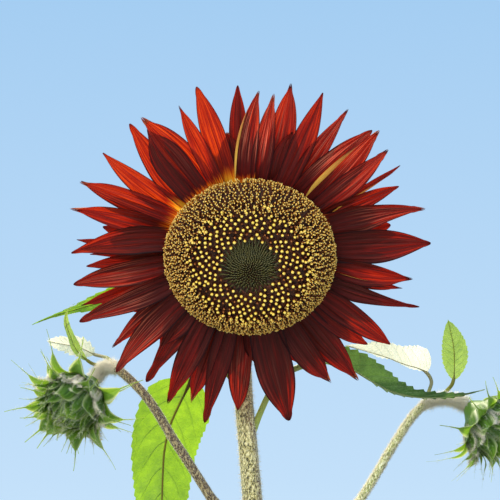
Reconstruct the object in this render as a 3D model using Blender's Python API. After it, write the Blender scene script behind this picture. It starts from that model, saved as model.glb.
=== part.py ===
"""A sunflower plant in flower: a stem with one open red head, two nodding side buds and its leaves.

Metres, +Z up, +X to the right of someone who faces the head, which looks along -Y and down.
The origin is the middle of the flat cut under the main stem, at ground level.
Each stem, leaf and bud, and each part of the open head, is a solid of its own.
"""

import math
import random

import bmesh
import bpy
from mathutils import Matrix, Vector

MM = 0.001
CLEAR = 0.3 * MM  # between one solid and the next
SEED = 21
SHARP = math.radians(45)

# The open head. Its own frame has its middle in the disc's rim plane and +Z the way it faces.
HEAD_CENTRE = Vector((-4, -57.5, 1120)) * MM
HEAD_DIP = math.radians(33)  # how far below level the head faces
DISC_RADIUS = 38.5 * MM
DISC_HEIGHT = 12.5 * MM
DISC_HOLLOW = 2.8 * MM  # how far the unopened middle lies below the ring round it
DISC_UNDERCUT = -1.1 * MM  # the height of the rim's lower edge
DISC_SIDES = 30
# The disc's outline from its rim to its middle: shares of its radius and of its height.
DISC_OUTLINE = (
    (1.02, 0.12), (0.987, 0.44), (0.87, 0.74), (0.70, 0.93), (0.54, 1.0), (0.38, 0.99), (0.24, 0.84),
)
RECEPTACLE_RADIUS = 36 * MM
RECEPTACLE_DEPTH = 22 * MM
RECEPTACLE_FACE = -6 * MM  # the receptacle's front, in the head's frame
RECEPTACLE_SIDES = 24
# The receptacle's outline from its back to its front: shares of its radius and of its depth.
RECEPTACLE_OUTLINE = ((0.36, 0.80), (0.66, 0.55), (0.88, 0.28))
RECEPTACLE_EDGE = 1 * MM
COLLAR_INNER = 30 * MM  # the ring of flesh that the rays grow from
COLLAR_OUTER = 37.8 * MM
COLLAR_BACK = -5.5 * MM
COLLAR_FRONT = -1.8 * MM
COLLAR_SIDES = 48

# The rays, each with the angle of its tip round the disc in degrees, its reach beyond the rim and
# its width in millimetres, the angle of its root, and its layer, front to back.
RAYS = (
    (3, 43, 18, 4, 0), (15, 43, 16.5, 22.5, 0), (25, 35, 9, 27, 2), (31, 40, 5, 28.5, 1),
    (38, 40, 11, 35.5, 1), (45, 43, 12, 41.5, 1), (48, 42, 13, 53, 0), (57, 42, 10, 59.5, 1),
    (67, 44, 11, 65.5, 0), (77, 43, 12.5, 75, 1), (82, 38, 10, 84, 0), (87, 39, 12.5, 94.5, 0),
    (94, 40, 9, 96, 2), (107, 43, 11, 105.5, 1), (114, 39, 8.5, 113, 0), (127, 42, 14, 121.5, 1),
    (128, 36, 16.5, 129, 0), (132, 42, 13, 137, 2), (145, 42, 11, 147.5, 1), (156, 45, 10, 152.5, 0),
    (158, 44, 9, 158, 2), (165, 45, 12, 163, 1), (177, 40, 6, 177.5, 2), (180, 42, 15, 169, 0),
    (182, 34, 7, 180.5, 1), (186, 36, 9, 184, 2), (191, 43, 13.5, 189, 0), (200, 44, 7, 199, 2),
    (203, 46, 14.5, 201.5, 0), (217, 41, 10, 211.5, 1), (223, 46, 14, 217, 0),
    (234, 43, 12.5, 230, 1), (243, 46, 12.5, 240, 0), (250, 42, 10, 248.5, 1),
    (256, 49, 12, 255, 0), (266, 43, 13, 266, 1), (282, 49, 19, 280.5, 0), (300, 37, 13, 295, 1),
    (308, 43, 14.5, 306.5, 0), (319, 33, 9.5, 316.5, 1), (325, 40, 12.5, 326.5, 0),
    (337, 33, 7, 333, 2), (341, 43, 9.5, 337, 0), (344, 34, 7, 343, 1), (349, 37, 13.5, 349, 1),
    (358, 27, 8, 356.5, 2), (209, 25, 13, 209, 2), (229, 25, 13, 226, 2), (247, 25, 12, 246, 2),
    (261, 24, 12, 262, 2), (275, 21, 14, 274, 2), (292, 24, 13, 290, 2), (315, 21, 12, 314, 2),
    (10, 26, 13, 12, 2), (72, 22, 12, 71, 2), (100, 20, 12, 101, 2), (172, 29, 13, 172, 2),
)
RAY_THICKNESS = 0.8 * MM
RAY_ROOT = 34 * MM  # from the head's axis
RAY_LAYERS = (-2.9 * MM, -3.7 * MM, -4.5 * MM)  # heights of the roots, front to back
RAY_LAYER_LEAN = 0.03  # radians that each layer leans behind the one in front of it
RAY_LEAN = math.radians(8)  # the top rays lean back and the bottom ones forward by this
RAY_LEAN_SPREAD = 2.5  # degrees
RAY_ROLL_SPREAD = 10  # degrees
RAY_HEIGHT_SPREAD = 0.25  # millimetres
RAY_SQUARE_SHARE = 0.45  # of its length, over which a ray leaves the disc squarely
RAY_ROOT_WIDE = 0.76  # its width at the root, of its widest
RAY_WIDEST = 0.5
RAY_DRAWS_IN = 0.40  # how far along it starts to narrow
RAY_TAPER = 2.2
RAY_STEPS = 6
THIN_TIP = 0.05  # the width at the tip of a ray or bract, of its widest

HEAD_BRACTS = 26
HEAD_BRACT_LENGTH = 25 * MM
HEAD_BRACT_WIDTH = 14 * MM
HEAD_BRACT_LEAN = math.radians(24)  # behind the rays
# Two rows of bracts, front and back: where they start as shares of the receptacle's radius, how
# far behind its front, and how much further they lean in radians.
HEAD_BRACT_ROWS = (
    dict(start=0.95, behind=2.2 * MM, lean=0.0),
    dict(start=0.86, behind=4.5 * MM, lean=0.16),
)
HEAD_BRACT_SAG = 3 * MM
HEAD_BRACT_STEPS = 4
BRACT_THICKNESS = 0.9 * MM
BRACT_TURN_SPREAD = 0.15  # of the angle from one bract to the next
BRACT_LENGTHS = (0.88, 1.05)  # shares of the length given
BRACT_LEAN_SPREAD = 0.05  # radians

# A frame by the head for the parts near it: right, up and back from the head's centre, tipped
# back a little as the head is looked up at.
LOOK_UP = math.radians(6)

# Stems: each knot is a point with the radius there, in millimetres.
MAIN_STEM = (
    (0, 0, 0, 14.0), (0.5, 0, 28, 12.2), (3, -1, 120, 11.4), (8, -2, 300, 10.2), (11, -3, 500, 8.8),
    (10, -2, 700, 7.2), (7, -1, 850, 5.9), (2, 0, 950, 5.0), (-2.8, 0, 1011, 4.5),
    (-7.1, 0, 1060, 4.2), (-8.3, 0, 1095, 4.2),
)
NECK_BEND = 22 * MM  # radius of the bend under the head
NECK_END_RADIUS = 6.5 * MM
NECK_STEPS = 6
MAIN_STEM_STEPS = 44
SIDE_STEM_STEPS = dict(left=22, right=20)
STEM_SIDES = 12
SIDE_STEM_SIDES = 8
CURVE_SPANS = 8

# Side stems: right, up and back from the head's centre, and the radius, in millimetres.
LEFT_STEM = (
    (2, -139, 44, 2.6), (-8, -124, 40, 2.4), (-17.3, -113.5, 36, 2.3), (-23.2, -104.3, 35, 2.2),
    (-35, -86, 34, 2.1), (-46.5, -67.6, 34, 2.0), (-57, -56.5, 35.5, 2.0), (-63.5, -52.2, 40, 2.1),
    (-68.6, -52.8, 45, 2.3), (-72.9, -58.3, 42.5, 2.6),
)
RIGHT_STEM = (
    (6, -177, 40, 2.4), (24, -149, 43, 2.1), (51, -115, 46, 1.85), (66.8, -89.5, 48, 1.75),
    (76.5, -75, 48, 1.75), (84.5, -68.6, 47, 1.8), (92.5, -67.3, 46, 2.1), (99.5, -71.5, 45, 2.7),
)

# Buds: the middle, and the way each faces, in the frame by the head.
LEFT_BUD = dict(middle=(-80.5, -67.5, 33), faces=(-0.50, -0.60, -0.62))
RIGHT_BUD = dict(middle=(112.5, -79.5, 42), faces=(0.72, -0.62, -0.3))
BUD_RADIUS = 13.6 * MM
BUD_HALF_LENGTH = 12.0 * MM
BUD_NECK = 3.0 * MM
BUD_BRACT_WIDTH = 12.5 * MM
BUD_FOOT_RADIUS = 2.8 * MM
BUD_SIDES = 16
BUD_BANDS = 7
BUD_BACK_TURN = 0.1  # of half a turn: where the round core starts, past its foot
BUD_BRACT_STEPS = 6
BUD_TURN_SPREAD = 0.18
BUD_BRACT_LENGTHS = (0.88, 1.15)
BUD_ROLL_SPREAD = 0.12
# Rings of bracts from the back of a bud to its face: how many, their length in millimetres, how
# far round the core from its back they start, and how far their tips turn off it, in degrees.
BUD_RINGS = (
    dict(count=7, length=29, start=34, flare=84),
    dict(count=7, length=29, start=58, flare=76),
    dict(count=7, length=26, start=82, flare=68),
    dict(count=6, length=20, start=106, flare=52),
)
BUD_BRACT_LIES = 0.2  # of its length, over which a bract lies on the core
BUD_BRACT_TURNS = 0.4  # of its length, over which it then turns out
BUD_BRACT_LIFT = math.radians(7)
BUD_BRACT_BODY = 0.66  # of its length, over which a bract is broad
BUD_BRACT_TAPER = 2.2
BUD_BRACT_ROOT = 0.75  # the width at its root, and how much it swells along it, of its widest
BUD_BRACT_SWELL = 0.7
BUD_BRACT_TIP = 0.19  # the width that its thin tip starts with

# Leaves by the head: where each starts, the line of its midrib from the stem to the tip, the
# way its right-hand edge lies, its widest half, where that is, where the blade starts, how fast it
# draws in to its tip, and how far its edges fold up or, below 0, down, of its half width.
NEAR_LEAVES = dict(
    hanging_leaf=dict(
        on="main", at=1.068, line=((-20, -48, 60), (-28.5, -61, 65), (-35, -74, 67),
                                   (-39.8, -87, 67), (-41.3, -102, 66), (-41.8, -116, 64),
                                   (-42.8, -162, 58)),
        edge=(1, 0.05, 0.15), half=17.3, widest=0.16, blade=0.22, petiole=1.5, taper=0.85),
    right_leaf=dict(
        on="main", at=1.044, line=((3.2, -78.6, 51.5), (5.0, -74, 50.5), (8, -66.5, 49),
                                   (18.7, -54.2, 45), (38, -50, 42), (54, -57.8, 40),
                                   (65, -63.4, 38), (78.5, -66.2, 36), (95, -65.5, 35),
                                   (108.8, -62.6, 35)),
        edge=(0.25, -0.62, 0.74), half=11.5, widest=0.28, blade=0.34, petiole=1.5, taper=1.7,
        fold=-0.5),
    upper_left_leaf=dict(
        on="main", at=1.085, line=((-30, -13, 53), (-47, -16.5, 53), (-62, -20.5, 49),
                                   (-72.5, -23, 46), (-81, -25.5, 44), (-90, -28, 41),
                                   (-101.5, -32.5, 40)),
        edge=(0.1, 0.8, 0.55), half=7.0, widest=0.42, blade=0.30, petiole=1.2, taper=2.4),
    pale_leaf=dict(
        on="right", at=0.885, line=((85.1, -60.8, 47), (83.4, -56, 48), (79.5, -53.2, 48.5),
                                    (72, -51, 49.5), (62, -47.2, 51.5), (45, -42.5, 56)),
        edge=(-0.2, -0.5, 0.84), half=10.2, widest=0.13, blade=0.24, petiole=0.9, taper=1.0,
        fold=0.5),
    upright_leaf=dict(
        on="right", at=0.935, line=((92, -63.6, 46), (94.8, -59.4, 45), (95.4, -51.4, 44),
                                    (94.9, -42.5, 43), (92.2, -30, 42)),
        edge=(0.97, 0.1, 0.2), half=6.6, widest=0.46, blade=0.22, petiole=0.9, taper=0.9),
    bud_leaf=dict(
        on="left", at=0.95, line=((-74.2, -50.5, 44), (-80.4, -44.5, 40), (-83.6, -37, 38),
                                  (-85.4, -31, 37), (-84.7, -25.6, 37), (-81.2, -22.6, 38)),
        edge=(0.6, 0.2, 0.78), half=3.0, widest=0.35, blade=0.14, petiole=0.8, taper=1.2),
    small_leaf=dict(
        on="left", at=0.91, line=((-73.6, -46.5, 50), (-77.5, -44.5, 52), (-83.5, -42.8, 53),
                                  (-89.1, -41.8, 53), (-95.4, -40.4, 51)),
        edge=(0.5, 0.75, 0.4), half=5.4, widest=0.40, blade=0.30, petiole=0.8, taper=0.8),
)

# Leaves down the main stem, one by one up it, each turned by the golden angle from the last.
LOWEST_LEAF = 0.11
HIGHEST_LEAF = 0.93
LEAF_COUNT = 18
LEAF_TURN = math.radians(137.5)
LAST_LEAF_TURN = math.radians(-4)  # the highest leaf stands under the right side stem
BLADE_AT_FOOT = 0.135  # blade lengths
BLADE_AT_MIDDLE = 0.215
BLADE_AT_TOP = 0.100
PETIOLE_SHARE = 0.45  # of the blade's length
BLADE_SHARE_WIDE = 0.36  # a blade's half width, of its length
BLADE_WIDEST = 0.27  # how far along it is widest
LEAF_THICKNESS_SHARE = 1 / 95  # of the blade's length
LEAF_TAPER = 0.95
LEAF_FOLD = 0.14  # how far the edges of a blade rise, of its half width
LEAF_FOOT = 1.6  # petiole radii over which a leaf leaves its stem squarely
LEAF_STEPS = 12
STEM_LEAF_STEPS = 10
LEAF_TIP = 0.03  # the width at a leaf's tip, of its widest
LEAF_RISE = (40, 50)  # degrees that a petiole rises by
LEAF_FALL = (100, 118)  # degrees that a leaf turns down by on its way
LEAF_FALL_POWER = 1.4
LEAF_ROLL = 12  # degrees
TOP_LEAVES_FLATTEN = 0.2  # metres below the head over which the leaves rise less
HEAD_FOOT_HEIGHT = 1.0
THINNEST_PETIOLE = 1.4 * MM
PETIOLE_SHARE_WIDE = 0.009  # of the blade's length

# Colours, and how rough each finish is.
STEM_FINISH = ((0.32, 0.36, 0.14), 0.7)
SIDE_STEM_FINISH = ((0.30, 0.36, 0.15), 0.7)
RAY_FINISH = ((0.16, 0.012, 0.008), 0.5)
DISC_FINISH = ((0.16, 0.09, 0.02), 0.8)
BRACT_FINISH = ((0.20, 0.33, 0.07), 0.6)
LEAF_FINISH = ((0.16, 0.34, 0.06), 0.55)


# ---------------------------------------------------------------- frames and curves


def near_head(right, up, back):
    """A point given in millimetres in the frame by the head."""
    return HEAD_CENTRE + way_near_head(right, up, back) * MM


def way_near_head(right, up, back):
    sine, cosine = math.sin(LOOK_UP), math.cos(LOOK_UP)
    return Vector((right, back * cosine - up * sine, up * cosine + back * sine))


def facing_frame(centre, facing):
    """A frame at a centre, with +Z the way it faces, +X level and +Y up."""
    z = Vector(facing).normalized()
    x = Vector((0, 0, 1)).cross(z).normalized()
    y = z.cross(x)
    frame = Matrix((x, y, z)).transposed().to_4x4()
    frame.translation = centre
    return frame


HEAD = facing_frame(HEAD_CENTRE, (0, -math.cos(HEAD_DIP), -math.sin(HEAD_DIP)))


def curve(knots, spans):
    """A smooth line through knots of any size, with the given number of steps from knot to knot."""
    knots = [Vector(k) for k in knots]
    line = []
    for i in range(len(knots) - 1):
        a, b = knots[i], knots[i + 1]
        before = knots[i - 1] if i else a * 2 - b
        after = knots[i + 2] if i + 2 < len(knots) else b * 2 - a
        for step in range(spans):
            t = step / spans
            line.append(
                0.5 * (2 * a + (b - before) * t + (2 * before - 5 * a + 4 * b - after) * t * t
                       + (3 * a - before - 3 * b + after) * t ** 3)
            )
    line.append(knots[-1])
    return line


def even(line, count):
    """The line again, with its points evenly spread."""
    lengths = [0.0]
    for a, b in zip(line, line[1:]):
        lengths.append(lengths[-1] + (b - a).length)
    spread = []
    i = 0
    for step in range(count + 1):
        want = lengths[-1] * step / count
        while i < len(line) - 2 and lengths[i + 1] < want:
            i += 1
        share = (want - lengths[i]) / max(lengths[i + 1] - lengths[i], 1e-9)
        spread.append(line[i].lerp(line[i + 1], share))
    return spread


def tangents(line):
    ends = [line[0], *line, line[-1]]
    return [(ends[i + 2] - ends[i]).normalized() for i in range(len(line))]


# ---------------------------------------------------------------- closed surfaces


def closed(name, rings, finish):
    """An object whose surface runs through rings of equally many points, flat over both ends."""
    count = len(rings[0])
    last = (len(rings) - 1) * count
    faces = [
        (r + i, r + (i + 1) % count, r + (i + 1) % count + count, r + i + count)
        for r in range(0, last, count)
        for i in range(count)
    ]
    faces.append(tuple(range(count)))
    faces.append(tuple(range(last, last + count)))
    return solid(name, [p for ring in rings for p in ring], faces, finish)


def solid(name, points, faces, finish):
    mesh = bpy.data.meshes.new(name)
    mesh.from_pydata([tuple(p) for p in points], [], faces)
    shape = bmesh.new()
    shape.from_mesh(mesh)
    bmesh.ops.recalc_face_normals(shape, faces=shape.faces)
    shape.to_mesh(mesh)
    shape.free()
    mesh.shade_smooth()
    mesh.set_sharp_from_angle(angle=SHARP)
    mesh.materials.append(material(name, *finish))
    piece = bpy.data.objects.new(name, mesh)
    bpy.context.scene.collection.objects.link(piece)
    return piece


def material(name, colour, roughness):
    finish = bpy.data.materials.new(name)
    finish.use_nodes = True
    shader = finish.node_tree.nodes["Principled BSDF"]
    shader.inputs["Base Color"].default_value = (*colour, 1)
    shader.inputs["Roughness"].default_value = roughness
    shader.inputs["Metallic"].default_value = 0
    return finish


def turned(name, profile, sides, frame, finish):
    """A solid of revolution about a frame's +Z; the profile's (radius, height) ends are on it."""
    points = [frame @ Vector((0, 0, profile[0][1]))]
    for radius, height in profile[1:-1]:
        for i in range(sides):
            turn = math.tau * i / sides
            points.append(frame @ Vector((radius * math.cos(turn), radius * math.sin(turn), height)))
    points.append(frame @ Vector((0, 0, profile[-1][1])))
    end = len(points) - 1
    bands = len(profile) - 3
    faces = [(0, 1 + i, 1 + (i + 1) % sides) for i in range(sides)]
    for band in range(bands):
        start = 1 + band * sides
        for i in range(sides):
            j = (i + 1) % sides
            faces.append((start + i, start + j, start + j + sides, start + i + sides))
    start = 1 + bands * sides
    faces += [(start + i, start + (i + 1) % sides, end) for i in range(sides)]
    return solid(name, points, faces, finish)


def fuse(core, extras):
    """Joins the extras to the core by one union."""
    group = bpy.data.collections.new("to join")
    bpy.context.scene.collection.children.link(group)
    for piece in extras:
        bpy.context.scene.collection.objects.unlink(piece)
        group.objects.link(piece)
    union = core.modifiers.new("Union", "BOOLEAN")
    union.operation = "UNION"
    union.operand_type = "COLLECTION"
    union.collection = group
    joined = core.evaluated_get(bpy.context.evaluated_depsgraph_get())
    mesh = bpy.data.meshes.new_from_object(joined)
    core.modifiers.clear()
    core.data = mesh
    for piece in list(group.objects):
        bpy.data.objects.remove(piece)
    bpy.data.collections.remove(group)


def blade_rings(line, edges, halves, thickness):
    """Rings of four points along a thin blade: an edge, the top, the other edge and the underside."""
    rings = []
    for point, along, edge, half in zip(line, tangents(line), edges, halves):
        across = (edge - along * edge.dot(along)).normalized()
        top = across.cross(along)
        rings.append([
            point + across * half,
            point + top * thickness / 2,
            point - across * half,
            point - top * thickness / 2,
        ])
    return rings


# ---------------------------------------------------------------- stems


class Limb:
    """A stem as one curve of points with their radii."""

    def __init__(self, knots, steps):
        line = even(curve(knots, CURVE_SPANS), steps)
        self.points = [Vector(k[:3]) for k in line]
        self.radii = [k[3] for k in line]
        self.ways = tangents(self.points)

    def at_share(self, share):
        """The point, the way and the radius at a share of the stem's length."""
        place = share * (len(self.points) - 1)
        i = min(int(place), len(self.points) - 2)
        t = place - i
        return (
            self.points[i].lerp(self.points[i + 1], t),
            self.ways[i].lerp(self.ways[i + 1], t).normalized(),
            self.radii[i] * (1 - t) + self.radii[i + 1] * t,
        )

    def at_height(self, height):
        i = next(n for n, p in enumerate(self.points) if p.z > height) - 1
        a, b = self.points[i].z, self.points[i + 1].z
        return self.at_share((i + (height - a) / (b - a)) / (len(self.points) - 1))

    def seat(self, where, towards):
        """Where a leaf or side stem that heads towards a point meets this stem: the nearest point
        of the plane that touches the stem there, and the plane's normal."""
        point, way, radius = where
        out = towards - point
        out = (out - way * out.dot(way)).normalized()
        return point + out * (radius + CLEAR), out


def rings_along(points, radii, sides):
    """Round rings along a line, turned as little as may be from one to the next."""
    ways = tangents(points)
    side = ways[0].orthogonal().normalized()
    rings = []
    for point, way, radius in zip(points, ways, radii):
        side = (side - way * side.dot(way)).normalized()
        other = way.cross(side)
        rings.append([
            point + (side * math.cos(math.tau * i / sides) + other * math.sin(math.tau * i / sides))
            * radius
            for i in range(sides)
        ])
    return rings


def cut_ring(ring, way, seat):
    """The ring moved along the way until it lies in the seat's plane."""
    point, normal = seat
    return [p + way * ((point - p).dot(normal) / way.dot(normal)) for p in ring]


def back_of_head():
    """Where the main stem ends, just behind the receptacle."""
    return HEAD @ Vector((0, 0, RECEPTACLE_FACE - RECEPTACLE_DEPTH - CLEAR))


def main_stem_limb():
    knots = [Vector(k) * MM for k in MAIN_STEM]
    neck = knots[-1]
    # The bend: from straight up, over and down into the back of the head.
    middle = back_of_head() - HEAD.col[1].xyz * NECK_BEND
    for i in range(NECK_STEPS + 1):
        share = i / NECK_STEPS
        turn = (math.pi / 2 + HEAD_DIP) * share
        point = middle + Vector((0, math.cos(turn), math.sin(turn))) * NECK_BEND
        point.x = neck.x * (1 - share) + HEAD_CENTRE.x * share
        radius = neck[3] * (1 - share ** 3) + NECK_END_RADIUS * share ** 3
        knots.append(Vector((*point, radius)))
    return Limb(knots, MAIN_STEM_STEPS)


def build_main_stem(limb):
    rings = rings_along(limb.points, limb.radii, STEM_SIDES)
    rings[0] = [Vector((p.x, p.y, 0)) for p in rings[0]]
    facing = HEAD.col[2].xyz
    rings[-1] = cut_ring(rings[-1], facing, (back_of_head(), facing))
    closed("main_stem", rings, STEM_FINISH)


def side_stem(side, knots, main, bud):
    """A side stem from the main stem to the back of its bud."""
    line = [Vector((*near_head(*k[:3]), k[3] * MM)) for k in knots]
    limb = Limb(line, SIDE_STEM_STEPS[side])
    foot = limb.points[0]
    seat = main.seat(main.at_height(foot.z), limb.points[2])
    slope = (limb.points[2] - seat[0]).normalized()
    limb.points[0] = seat[0]
    limb.points[1] = seat[0] + slope * (limb.points[2] - seat[0]).length * 0.5
    rings = rings_along(limb.points, limb.radii, SIDE_STEM_SIDES)
    rings[0] = cut_ring(rings[0], slope, seat)
    end = bud @ Vector((0, 0, -BUD_HALF_LENGTH - BUD_NECK - CLEAR))
    facing = bud.col[2].xyz
    rings[-1] = [p + (end - limb.points[-1]) for p in rings[-1]]
    rings[-1] = cut_ring(rings[-1], limb.ways[-1].lerp(facing, 0.5), (end, facing))
    closed(f"{side}_side_stem", rings, SIDE_STEM_FINISH)
    return limb


# ---------------------------------------------------------------- the open head


def ray_half_width(t, half):
    """Half the width of a ray at a share of its length: narrower at the root, pointed at the tip."""
    opening = RAY_ROOT_WIDE + (1 - RAY_ROOT_WIDE) * math.sin(min(t / RAY_WIDEST, 1) * math.pi / 2)
    closing = 1 - max(0, (t - RAY_DRAWS_IN) / (1 - RAY_DRAWS_IN)) ** RAY_TAPER
    return half * max(opening * closing, THIN_TIP)


def ray_line(tip, root, length, t):
    """A ray's midline in the head's plane: it leaves the disc squarely and bends to its tip."""
    out = Vector((math.cos(root), math.sin(root)))
    root_point = out * RAY_ROOT
    tip_point = Vector((math.cos(tip), math.sin(tip))) * (RAY_ROOT + length)
    turn_point = root_point + out * length * RAY_SQUARE_SHARE
    return root_point * (1 - t) ** 2 + turn_point * 2 * t * (1 - t) + tip_point * t ** 2


def build_ray(number, ray, draw):
    """One ray, which leans out of the head's plane and rolls a little about its midrib."""
    tip, reach, width, root, layer = ray
    tip, root = math.radians(tip), math.radians(root)
    lean = -RAY_LEAN * math.sin(tip) - RAY_LAYER_LEAN * layer
    lean += math.radians(draw.uniform(-RAY_LEAN_SPREAD, RAY_LEAN_SPREAD))
    roll = math.radians(draw.uniform(-RAY_ROLL_SPREAD, RAY_ROLL_SPREAD))
    height = RAY_LAYERS[layer] + draw.uniform(-RAY_HEIGHT_SPREAD, RAY_HEIGHT_SPREAD) * MM
    length = reach * MM + DISC_RADIUS - RAY_ROOT
    line, edges, halves = [], [], []
    for i in range(RAY_STEPS + 1):
        t = i / RAY_STEPS
        flat = ray_line(tip, root, length, t)
        run = flat.length - RAY_ROOT
        flat *= (RAY_ROOT + run * math.cos(lean)) / (RAY_ROOT + run)
        line.append(Vector((*flat, height + run * math.sin(lean))))
        level = Vector((-flat.y, flat.x, 0)).normalized()
        edges.append(level * math.cos(roll * t) + Vector((0, 0, math.sin(roll * t))))
        halves.append(ray_half_width(t, width / 2 * MM))
    rings = blade_rings(line, edges, halves, RAY_THICKNESS)
    return closed(f"ray_{number}", [[HEAD @ p for p in ring] for ring in rings], RAY_FINISH)


def build_rays():
    collar = []
    for i in range(COLLAR_SIDES):
        turn = math.tau * i / COLLAR_SIDES
        outward = Vector((math.cos(turn), math.sin(turn), 0))
        collar.append([
            HEAD @ (outward * radius + Vector((0, 0, height)))
            for radius, height in (
                (COLLAR_INNER, COLLAR_BACK), (COLLAR_OUTER, COLLAR_BACK),
                (COLLAR_OUTER, COLLAR_FRONT), (COLLAR_INNER, COLLAR_FRONT),
            )
        ])
    points = [p for ring in collar for p in ring]
    total = len(points)
    faces = [
        (r + i, r + (i + 1) % 4, (r + 4 + (i + 1) % 4) % total, (r + 4 + i) % total)
        for r in range(0, total, 4)
        for i in range(4)
    ]
    core = solid("ray_petals", points, faces, RAY_FINISH)
    draw = random.Random(SEED)
    fuse(core, [build_ray(number, ray, draw) for number, ray in enumerate(RAYS)])


def build_disc():
    rim, top = DISC_RADIUS, DISC_HEIGHT
    low = RECEPTACLE_FACE + CLEAR
    inner = COLLAR_INNER - CLEAR
    profile = [(0, low), (inner, low), (inner, DISC_UNDERCUT), (rim, DISC_UNDERCUT)]
    profile += [(rim * radius, top * height) for radius, height in DISC_OUTLINE]
    profile.append((0, top - DISC_HOLLOW))
    turned("disc_florets", profile, DISC_SIDES, HEAD, DISC_FINISH)


def build_receptacle():
    face, deep, wide = RECEPTACLE_FACE, RECEPTACLE_DEPTH, RECEPTACLE_RADIUS
    profile = [(0, face - deep), (NECK_END_RADIUS, face - deep)]
    profile += [(wide * radius, face - deep * depth) for radius, depth in RECEPTACLE_OUTLINE]
    profile += [(wide, face - RECEPTACLE_EDGE), (wide, face), (0, face)]
    core = turned("head_receptacle", profile, RECEPTACLE_SIDES, HEAD, BRACT_FINISH)
    draw = random.Random(SEED + 1)
    bracts = []
    for i in range(HEAD_BRACTS):
        row = HEAD_BRACT_ROWS[i % 2]
        spread = draw.uniform(-BRACT_TURN_SPREAD, BRACT_TURN_SPREAD)
        angle = math.tau * (i + spread) / HEAD_BRACTS
        outward = Vector((math.cos(angle), math.sin(angle), 0))
        level = Vector((-math.sin(angle), math.cos(angle), 0))
        lean = HEAD_BRACT_LEAN + row["lean"] + draw.uniform(-BRACT_LEAN_SPREAD, BRACT_LEAN_SPREAD)
        length = HEAD_BRACT_LENGTH * draw.uniform(*BRACT_LENGTHS)
        line, halves = [], []
        for n in range(HEAD_BRACT_STEPS + 1):
            t = n / HEAD_BRACT_STEPS
            run = length * t
            back = row["behind"] + run * math.sin(lean) + HEAD_BRACT_SAG * t * t * math.sin(math.pi * t)
            line.append(outward * (wide * row["start"] + run * math.cos(lean))
                        + Vector((0, 0, face - back)))
            halves.append(head_bract_half_width(t, HEAD_BRACT_WIDTH / 2))
        rings = blade_rings(line, [level] * len(line), halves, BRACT_THICKNESS)
        bracts.append(closed(f"bract_{i}", [[HEAD @ p for p in r] for r in rings], BRACT_FINISH))
    fuse(core, bracts)


def head_bract_half_width(t, half):
    """Half the width of a bract behind the head: broad well past its middle, then pointed."""
    return half * max((1 - t) ** 0.9 * (0.8 + 0.9 * t), THIN_TIP)


# ---------------------------------------------------------------- buds


def bract_half_width(t, half):
    """Half the width of a bud's bract: broad, then quickly drawn in to a long thin tip."""
    body = (1 - (t / BUD_BRACT_BODY) ** BUD_BRACT_TAPER) * (BUD_BRACT_ROOT + BUD_BRACT_SWELL * t)
    return half * max(body, BUD_BRACT_TIP * (1 - t), THIN_TIP)


def bract_lean(t, start, length, flare):
    """How far a bract leans out of the bud's axis: along the core, then out at its tip."""
    around = start + min(t, BUD_BRACT_LIES) * length * 2 / (BUD_RADIUS + BUD_HALF_LENGTH)
    along_core = math.atan2(BUD_RADIUS * math.cos(around), BUD_HALF_LENGTH * math.sin(around))
    turned_out = min(1, max(0, (t - BUD_BRACT_LIES) / BUD_BRACT_TURNS))
    return along_core + BUD_BRACT_LIFT + flare * turned_out ** 2 * (3 - 2 * turned_out)


def bud_bract_rings(ring, turn, length, roll):
    """A bract that follows the bud's core from its root, and then turns out with its thin tip."""
    outward = Vector((math.cos(turn), math.sin(turn), 0))
    level = Vector((-math.sin(turn), math.cos(turn), roll))
    start, flare = math.radians(ring["start"]), math.radians(ring["flare"])
    line = [outward * BUD_RADIUS * math.sin(start) - Vector((0, 0, BUD_HALF_LENGTH * math.cos(start)))]
    halves = [bract_half_width(0, BUD_BRACT_WIDTH / 2)]
    for n in range(1, BUD_BRACT_STEPS + 1):
        lean = bract_lean((n - 0.5) / BUD_BRACT_STEPS, start, length, flare)
        line.append(line[-1] + (outward * math.sin(lean) + Vector((0, 0, math.cos(lean))))
                    * length / BUD_BRACT_STEPS)
        halves.append(bract_half_width(n / BUD_BRACT_STEPS, BUD_BRACT_WIDTH / 2))
    return blade_rings(line, [level] * len(line), halves, BRACT_THICKNESS)


def build_bud(name, frame, seed):
    """A closed bud: a round core, flat where its stem comes in, wrapped in rings of bracts."""
    foot = -BUD_HALF_LENGTH - BUD_NECK
    profile = [(0, foot), (BUD_FOOT_RADIUS, foot)]
    for i in range(1, BUD_BANDS):
        turn = math.pi * (BUD_BACK_TURN + (1 - BUD_BACK_TURN) * i / BUD_BANDS)
        profile.append((BUD_RADIUS * math.sin(turn), -BUD_HALF_LENGTH * math.cos(turn)))
    profile.append((0, BUD_HALF_LENGTH))
    core = turned(name, profile, BUD_SIDES, frame, BRACT_FINISH)
    draw = random.Random(seed)
    bracts = []
    for number, ring in enumerate(BUD_RINGS):
        for i in range(ring["count"]):
            spread = draw.uniform(-BUD_TURN_SPREAD, BUD_TURN_SPREAD)
            turn = math.tau * (i + number * 0.5 + spread) / ring["count"]
            length = ring["length"] * draw.uniform(*BUD_BRACT_LENGTHS) * MM
            roll = draw.uniform(-BUD_ROLL_SPREAD, BUD_ROLL_SPREAD)
            rings = bud_bract_rings(ring, turn, length, roll)
            bracts.append(closed(f"{name}_bract", [[frame @ p for p in r] for r in rings],
                                 BRACT_FINISH))
    fuse(core, bracts)


# ---------------------------------------------------------------- leaves


def blade_half_width(t, half, widest, taper):
    """Half the width of a leaf's blade: round at its base, widest early and drawn to a point."""
    if t <= widest:
        return half * math.sin(math.pi / 2 * (t / widest)) ** 0.6
    narrowing = (t - widest) / (1 - widest)
    return half * max(LEAF_TIP, (1 - narrowing) ** taper * (1 + 0.6 * narrowing))


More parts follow.
